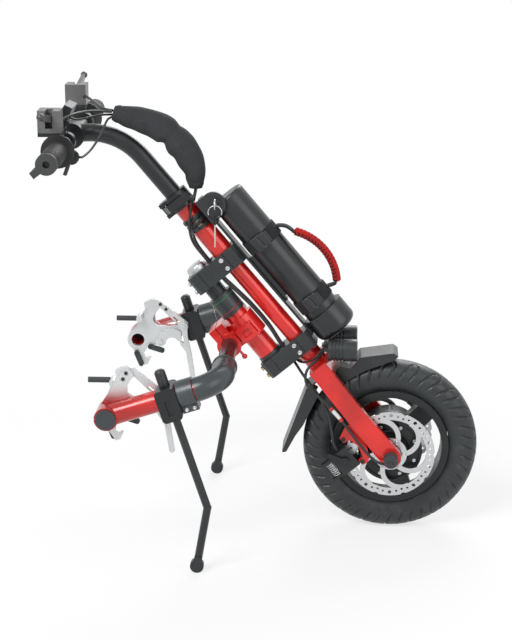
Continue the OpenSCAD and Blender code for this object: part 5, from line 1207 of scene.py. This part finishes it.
class ASSIST_OT_handle(bpy.types.Operator):
    """Braids the carry handle from red and black cord"""

    bl_idname = "assist.handle"
    bl_label = "Carry handle"

    def execute(self, context):
        count = context.scene.assist_soft.knots
        steps = count * BRAID_STEPS
        hub = Vector((HANDLE_AHEAD, 0, HANDLE_UP))
        rows = []
        for i in range(steps + 1):
            share = i / steps
            swing = -HANDLE_HALF + 2 * HANDLE_HALF * share
            out = Vector((math.cos(swing), 0, math.sin(swing)))
            ends = min(1.0, (share + TIP_OVER) / TIP_SHARE, (1 + TIP_OVER - share) / TIP_SHARE)
            row = []
            for k in range(BRAID_SIDES):
                turn = 2 * math.pi * k / BRAID_SIDES
                lean = KNOT_LEAN * math.cos(turn) * (1 if math.sin(turn) >= 0 else -1)
                knot = share * count + lean + (0.5 if math.cos(turn) < 0 else 0.0)
                ridge = abs(math.sin(math.pi * knot)) ** KNOT_ROUND * (0.5 + 0.5 * abs(math.sin(turn)))
                groove = bell(math.cos(turn), 0, GROOVE_WIDE)
                reach = HANDLE_D / 2 * (BRAID_CORE + BRAID_RIDGE * ridge - BRAID_GROOVE * groove) * ends
                side = out * math.cos(turn) * BRAID_FLAT + ACROSS * math.sin(turn)
                row.append(battery_spot(hub + out * HANDLE_R + side * reach))
            rows.append(row)
        piece = grid_piece("handle_braid", rows)
        cords = ["cord_red", "cord_black"]
        dress(piece, "handle_braid", "battery", cords, ("carry_handle",), 60)
        middle = battery_spot(hub)
        for face in piece.data.polygons:
            away = face.center - middle
            ahead, up = away.dot(AHEAD), away.dot(UP_COLUMN)
            swing = math.atan2(up, ahead)
            out = (math.hypot(ahead, up) / MM - HANDLE_R) / (HANDLE_D / 2)
            share = (swing + HANDLE_HALF) / (2 * HANDLE_HALF) * count
            zigzag = ZIGZAG_HIGH * (4 * abs((share + 0.25) % 1.0 - 0.5) - 1) - ZIGZAG_OFF
            gap = out < zigzag and (share + 0.5) % 1.0 < GAP_SHARE
            black = abs(out - zigzag) < ZIGZAG_HALF or out < INSIDE_AT or gap
            face.material_index = 1 if black else 0
        return {"FINISHED"}


# Headlights: their lens middles from the axle, and sections of the lens and the rim
LAMP_BACK, LAMP_ACROSS, LAMP_UP = 64.48, 44, 189.21
LAMP_SIDES = 64
LENS_LINE = (
    (0, 2.4), (5, 2.3), (5.4, 1.5), (10, 1.3), (10.4, 1.0), (14.6, 0.6), (15.2, 0.1), (15.2, -1.0),
    (0, -1.0),
)
LAMP_RIM_LINE = ((15.6, -0.5), (15.6, 1.6), (16.4, 2.2), (18.8, 2.2), (19.8, 1.2), (19.8, -0.5))


class ASSIST_OT_lamps(bpy.types.Operator):
    """Fits each headlight with a rim and a stepped lens"""

    bl_idname = "assist.lamps"
    bl_label = "Headlights"

    def execute(self, context):
        places = []
        for way in (-1, 1):
            middle = AXLE + Vector((-LAMP_BACK, way * LAMP_ACROSS, LAMP_UP)) * MM
            places.append(basis(middle, (1, 0, 0)))
        lens = lathe(LENS_LINE, LAMP_SIDES)
        dress(copies(lens, places, "lamp_lenses"), "lamp_lenses", "steering", "lamp_lens")
        rim = lathe(LAMP_RIM_LINE, LAMP_SIDES, closed=True)
        dress(copies(rim, places, "lamp_rims"), "lamp_rims", "steering", "lamp_rim")
        return {"FINISHED"}


def screw_set(name, head, spots, body, finish):
    """Screws of one size at (place, outward direction) spots."""
    model = socket_screw(*head)
    piece = copies(model, [basis(place, out) for place, out in spots], name)
    dress(piece, name, body, finish, degrees=40)
    return piece


def ring_spots(count, radius, out, first):
    """Spots in a ring about the axle on both sides, at a distance out and from a first turn."""
    spots = []
    for way in (-1, 1):
        for i in range(count):
            turn = first + 2 * math.pi * i / count
            place = Vector((math.cos(turn) * radius, way * out, math.sin(turn) * radius)) * MM
            spots.append((AXLE + place, ACROSS * way))
    return spots


# Clamp screws: the clamps' feet, heights and rear finish, then shares of the height and places
CLAMPS = ((235.0, 33.0, "bolt_brass"), (436.3, 36.0, "bolt_steel"))
CLAMP_SHARES = (0.25, 0.75)
CLAMP_BACK, CLAMP_REAR_OUT = -84.0, 16.0
CLAMP_SIDE, CLAMP_SIDE_OUT = -12.0, 26.0
# Head diameter and height of each size of screw
CLAMP_HEAD, HUB_HEAD, ROTOR_HEAD = (8.6, 4.4), (7.0, 2.2), (9.0, 3.0)
AXLE_HEAD, ARCH_HEAD = (13.0, 2.6), (8.0, 3.4)
# Rings of screws about the axle: count, radius and distance out
HUB_RING = (8, 47, 44.0)
ROTOR_RING = (6, 25, 63.0)
AXLE_OUT = 104.0
ARCH_SPOTS, ARCH_OUT = ((-46.0, 78.0), (-45.5, 24.0)), 74.0


class ASSIST_OT_screws(bpy.types.Operator):
    """Sets the cap screws of the clamps, brackets, hubs and brakes"""

    bl_idname = "assist.screws"
    bl_label = "Screws"

    def execute(self, context):
        spots = {"bolt_brass": [], "bolt_steel": []}
        for up, tall, finish in CLAMPS:
            for share in CLAMP_SHARES:
                for way in (-1, 1):
                    height = up + tall * share
                    spots[finish].append((column_place(CLAMP_BACK, way * CLAMP_REAR_OUT, height), -AHEAD))
                    side = column_place(CLAMP_SIDE, way * CLAMP_SIDE_OUT, height)
                    spots["bolt_steel"].append((side, ACROSS * way))
        for finish, name in (("bolt_brass", "screws_low_rear"), ("bolt_steel", "screws_clamps")):
            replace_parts(screw_set(name, CLAMP_HEAD, spots[finish], "steering", finish), "clamp_bolts")
        screw_set("screws_hub", HUB_HEAD, ring_spots(*HUB_RING, math.pi / 8), "wheel", "bolt_steel")
        rotor = screw_set("screws_rotor", ROTOR_HEAD, ring_spots(*ROTOR_RING, 0), "wheel", "bolt_steel")
        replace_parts(rotor, "rotor_bolts")
        axle, arch = [], []
        for way in (-1, 1):
            axle.append((AXLE + ACROSS * way * AXLE_OUT * MM, ACROSS * way))
            arch += [(column_place(q, way * ARCH_OUT, s), ACROSS * way) for q, s in ARCH_SPOTS]
        screw_set("screws_axle", AXLE_HEAD, axle, "steering", "bolt_dark")
        screw_set("screws_arch", ARCH_HEAD, arch, "steering", "black_enamel")
        return {"FINISHED"}


# Damper rings: the damper's place, foot and height, each ring's share of it, and their section
DAMPER_AHEAD, DAMPER_FOOT, DAMPER_TALL = -61.0, 372.3, 41.0
DAMPER_RINGS = (("damper_ring_red", 0.2, "line_red"), ("damper_ring_green", 0.8, "line_green"))
DAMPER_SIDES = 72
DAMPER_LINE = ((22.6, -0.1), (23.5, -0.1), (23.9, 0.3), (23.9, 0.8), (23.5, 1.1), (22.6, 1.1))


class ASSIST_OT_damper_lines(bpy.types.Operator):
    """Lays the coloured rings in the steering damper's grooves"""

    bl_idname = "assist.damper_lines"
    bl_label = "Damper rings"

    def execute(self, context):
        for name, share, finish in DAMPER_RINGS:
            ring = lathe(DAMPER_LINE, DAMPER_SIDES, closed=True)
            place = Vector((DAMPER_AHEAD, 0, DAMPER_FOOT + DAMPER_TALL * share))
            settle(ring, COLUMN @ Matrix.Translation(place * MM))
            dress(ring, name, "steering", finish)
        return {"FINISHED"}


# Display: its place from the bar and tilt, its screen's size, rounding and place, and its lights
DISPLAY_PLACE, DISPLAY_TILT = Vector((0, -72, 44)), math.radians(24)
SCREEN_SIZE, SCREEN_ROUND, SCREEN_PLACE = (1.6, 46, 26), 0.7, Vector((-7.9, 0, 5.5))
LIGHTS = (("light_orange", -17, "led_orange"), ("light_yellow", -9, "led_yellow"))
LIGHT_OUT, LIGHT_UP, LIGHT_SIDES = -7.6, -14.7, 24
LIGHT_LINE = ((0, 1.6), (1.2, 1.4), (2.0, 0.7), (2.3, 0), (2.3, -0.8), (0, -0.8))


class ASSIST_OT_display(bpy.types.Operator):
    """Gives the display its screen and warning lights"""

    bl_idname = "assist.display"
    bl_label = "Display"

    def execute(self, context):
        place = Matrix.Translation(BAR + DISPLAY_PLACE * MM) @ Matrix.Rotation(DISPLAY_TILT, 4, "Y")
        screen = rounded_block(SCREEN_SIZE, SCREEN_ROUND)
        settle(screen, place @ Matrix.Translation(SCREEN_PLACE * MM))
        dress(screen, "display_screen", "steering", "screen")
        for name, y, finish in LIGHTS:
            bead = lathe(LIGHT_LINE, LIGHT_SIDES)
            spot = Matrix.Translation(Vector((LIGHT_OUT, y, LIGHT_UP)) * MM)
            settle(bead, place @ spot @ Matrix.Rotation(-math.pi / 2, 4, "Y"))
            dress(bead, name, "steering", finish)
        return {"FINISHED"}


# Rings of the motor covers: radius and height out from the wheel's middle
HUB_SIDES = 96
HUB_LINES = (
    ((33, 43.8), (33, 45.6), (35, 46.6), (38, 46.6), (39, 45.4), (39, 43.8)),
    ((52, 43.8), (52, 45.2), (53, 46.0), (56, 46.0), (57.6, 44.8), (57.6, 43.8)),
)


class ASSIST_OT_hub(bpy.types.Operator):
    """Adds the ribbed rings of the motor covers"""

    bl_idname = "assist.hub"
    bl_label = "Motor covers"

    def execute(self, context):
        model = joined([lathe(line, HUB_SIDES, closed=True) for line in HUB_LINES], "cover")
        placings = [WHEEL, WHEEL @ Matrix.Rotation(math.pi, 4, "X")]
        piece = copies(model, placings, "hub_rings")
        dress(piece, "hub_rings", "wheel", "satin_black")
        return {"FINISHED"}


# Cable ties: height up the column, tilt and turn of the head in degrees, then their section and head
TIES = ((532.5, 3.0, -100.0), (542.0, -2.0, -62.0), (551.5, 2.0, -128.0))
TIE_SIDES = 64
TIE_AHEAD = -4
TIE_LINE = ((20.1, -3.6), (21.2, -4.3), (22.4, -2.8), (22.8, 0), (22.4, 2.8), (21.2, 4.3), (20.1, 3.6))
TIE_HEAD, TIE_ROUND, TIE_OUT = (5, 7, 6.5), 1.0, 24.0


class ASSIST_OT_ties(bpy.types.Operator):
    """Binds the cables to the column"""

    bl_idname = "assist.ties"
    bl_label = "Cable ties"

    def execute(self, context):
        made = []
        for up, tilt, turn in TIES:
            wrap = lathe(TIE_LINE, TIE_SIDES, closed=True)
            place = COLUMN @ Matrix.Translation(Vector((TIE_AHEAD, 0, up)) * MM)
            place = place @ Matrix.Rotation(math.radians(tilt), 4, "Y")
            made.append(settle(wrap, place))
            head = rounded_block(TIE_HEAD, TIE_ROUND)
            place = place @ Matrix.Rotation(math.radians(turn), 4, "Z")
            made.append(settle(head, place @ Matrix.Translation(Vector((TIE_OUT, 0, 0)) * MM)))
        dress(joined(made, "cable_ties"), "cable_ties", "steering", "moulded")
        return {"FINISHED"}


# Docking frame: its cross tube, the arms' pitch and length, and places on the hook plates as shares
CROSS_LOW, CROSS_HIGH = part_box("cross_tube")
DOCK_PITCH = math.radians(18)
DOCK_AHEAD = Vector((math.cos(DOCK_PITCH), 0, math.sin(DOCK_PITCH)))
DOCK = basis((CROSS_LOW + CROSS_HIGH) / 2, DOCK_AHEAD.cross(ACROSS), DOCK_AHEAD)
HOOK = DOCK @ Vector((-0.205, 0, 0))
HOOK_SIZE = Vector((90.0, 0, 82.0)) * MM
PLATE_SCREWS = (
    (0.50, 0.88, PLATE_IN, -1), (0.62, 0.765, PLATE_IN, -1), (0.36, 0.89, GUSSET_OUT, 1),
    (0.30, 0.76, GUSSET_OUT, 1), (0.03, -0.30, PLATE_OUT, 1),
)
PAD_SCREWS = ((0.27, -0.15), (0.53, -0.24), (-0.03, -0.31), (0.07, -0.58))
PLATE_HEAD, PAD_HEAD, ARM_HEAD = (6.4, 2.0), (4.6, 1.4), (7.0, 3.0)
# Arm clamp screws and elbow lips, in millimetres from the cross tube's middle
ARM_BACKS, ARM_OUT, ARM_UP = (-54.0, -68.0), 252.0, -25.0
LIP_OUT, LIP_SIDES = 151.0, 72
LIP_LINE = ((20.6, 0), (21.6, 0), (22.4, 0.8), (22.4, 4.2), (21.6, 5.0), (20.6, 5.0))


class ASSIST_OT_dock(bpy.types.Operator):
    """Adds the lips of the elbows and the screws of the hook plates, pads and arm clamps"""

    bl_idname = "assist.dock"
    bl_label = "Docking trim"

    def execute(self, context):
        lip = lathe(LIP_LINE, LIP_SIDES, closed=True)
        places = [basis(DOCK @ (ACROSS * way * LIP_OUT * MM), ACROSS * way) for way in (-1, 1)]
        dress(copies(lip, places, "elbow_lips"), "elbow_lips", "dock", "elbow_rubber")
        plates, pads, clamps = [], [], []
        for way in (-1, 1):
            for x, z, out, face in PLATE_SCREWS:
                place = HOOK + Vector((x * HOOK_SIZE.x, way * out, z * HOOK_SIZE.z))
                plates.append((place, ACROSS * way * face))
            for x, z in PAD_SCREWS:
                place = HOOK + Vector((x * HOOK_SIZE.x, way * PAD_IN, z * HOOK_SIZE.z))
                pads.append((place, -ACROSS * way))
            for back in ARM_BACKS:
                clamps.append((DOCK @ (Vector((back, way * ARM_OUT, ARM_UP)) * MM), ACROSS * way))
        screw_set("screws_plates", PLATE_HEAD, plates, "dock", "bolt_dark")
        screw_set("screws_pads", PAD_HEAD, pads, "dock", "bolt_dark")
        screw_set("screws_arm_clamps", ARM_HEAD, clamps, "dock", "bolt_steel")
        return {"FINISHED"}


class ASSIST_PT_panel(bpy.types.Panel):
    """Lists the pieces in the 3D view's sidebar"""

    bl_idname = "ASSIST_PT_panel"
    bl_label = "Power assist"
    bl_space_type = "VIEW_3D"
    bl_region_type = "UI"
    bl_category = "Power assist"

    def draw(self, context):
        for operator in OPERATORS:
            self.layout.operator(operator.bl_idname)
        for group in SETTINGS:
            values = getattr(context.scene, group)
            for label in values.__annotations__:
                self.layout.prop(values, label)


SETTINGS = {
    "assist_camera": CameraSizes,
    "assist_tyre": TyreSizes,
    "assist_soft": SoftSizes,
    "assist_colours": Colours,
}
OPERATORS = (
    ASSIST_OT_finishes,
    ASSIST_OT_stage,
    ASSIST_OT_cords,
    ASSIST_OT_tyre,
    ASSIST_OT_sleeve,
    ASSIST_OT_straps,
    ASSIST_OT_handle,
    ASSIST_OT_lamps,
    ASSIST_OT_screws,
    ASSIST_OT_damper_lines,
    ASSIST_OT_display,
    ASSIST_OT_hub,
    ASSIST_OT_ties,
    ASSIST_OT_dock,
)


def register():
    for group in SETTINGS.values():
        bpy.utils.register_class(group)
    for name, group in SETTINGS.items():
        setattr(bpy.types.Scene, name, PointerProperty(type=group))
    for operator in OPERATORS:
        bpy.utils.register_class(operator)
    bpy.utils.register_class(ASSIST_PT_panel)


def unregister():
    bpy.utils.unregister_class(ASSIST_PT_panel)
    for operator in reversed(OPERATORS):
        bpy.utils.unregister_class(operator)
    for name, group in SETTINGS.items():
        delattr(bpy.types.Scene, name)
        bpy.utils.unregister_class(group)


def main():
    register()
    bpy.ops.assist.finishes()
    bpy.ops.assist.stage()
    bpy.ops.assist.cords()
    bpy.ops.assist.tyre()
    bpy.ops.assist.sleeve()
    bpy.ops.assist.straps()
    bpy.ops.assist.handle()
    bpy.ops.assist.lamps()
    bpy.ops.assist.screws()
    bpy.ops.assist.damper_lines()
    bpy.ops.assist.display()
    bpy.ops.assist.hub()
    bpy.ops.assist.ties()
    bpy.ops.assist.dock()
    begin()


if __name__ == "__main__":
    main()
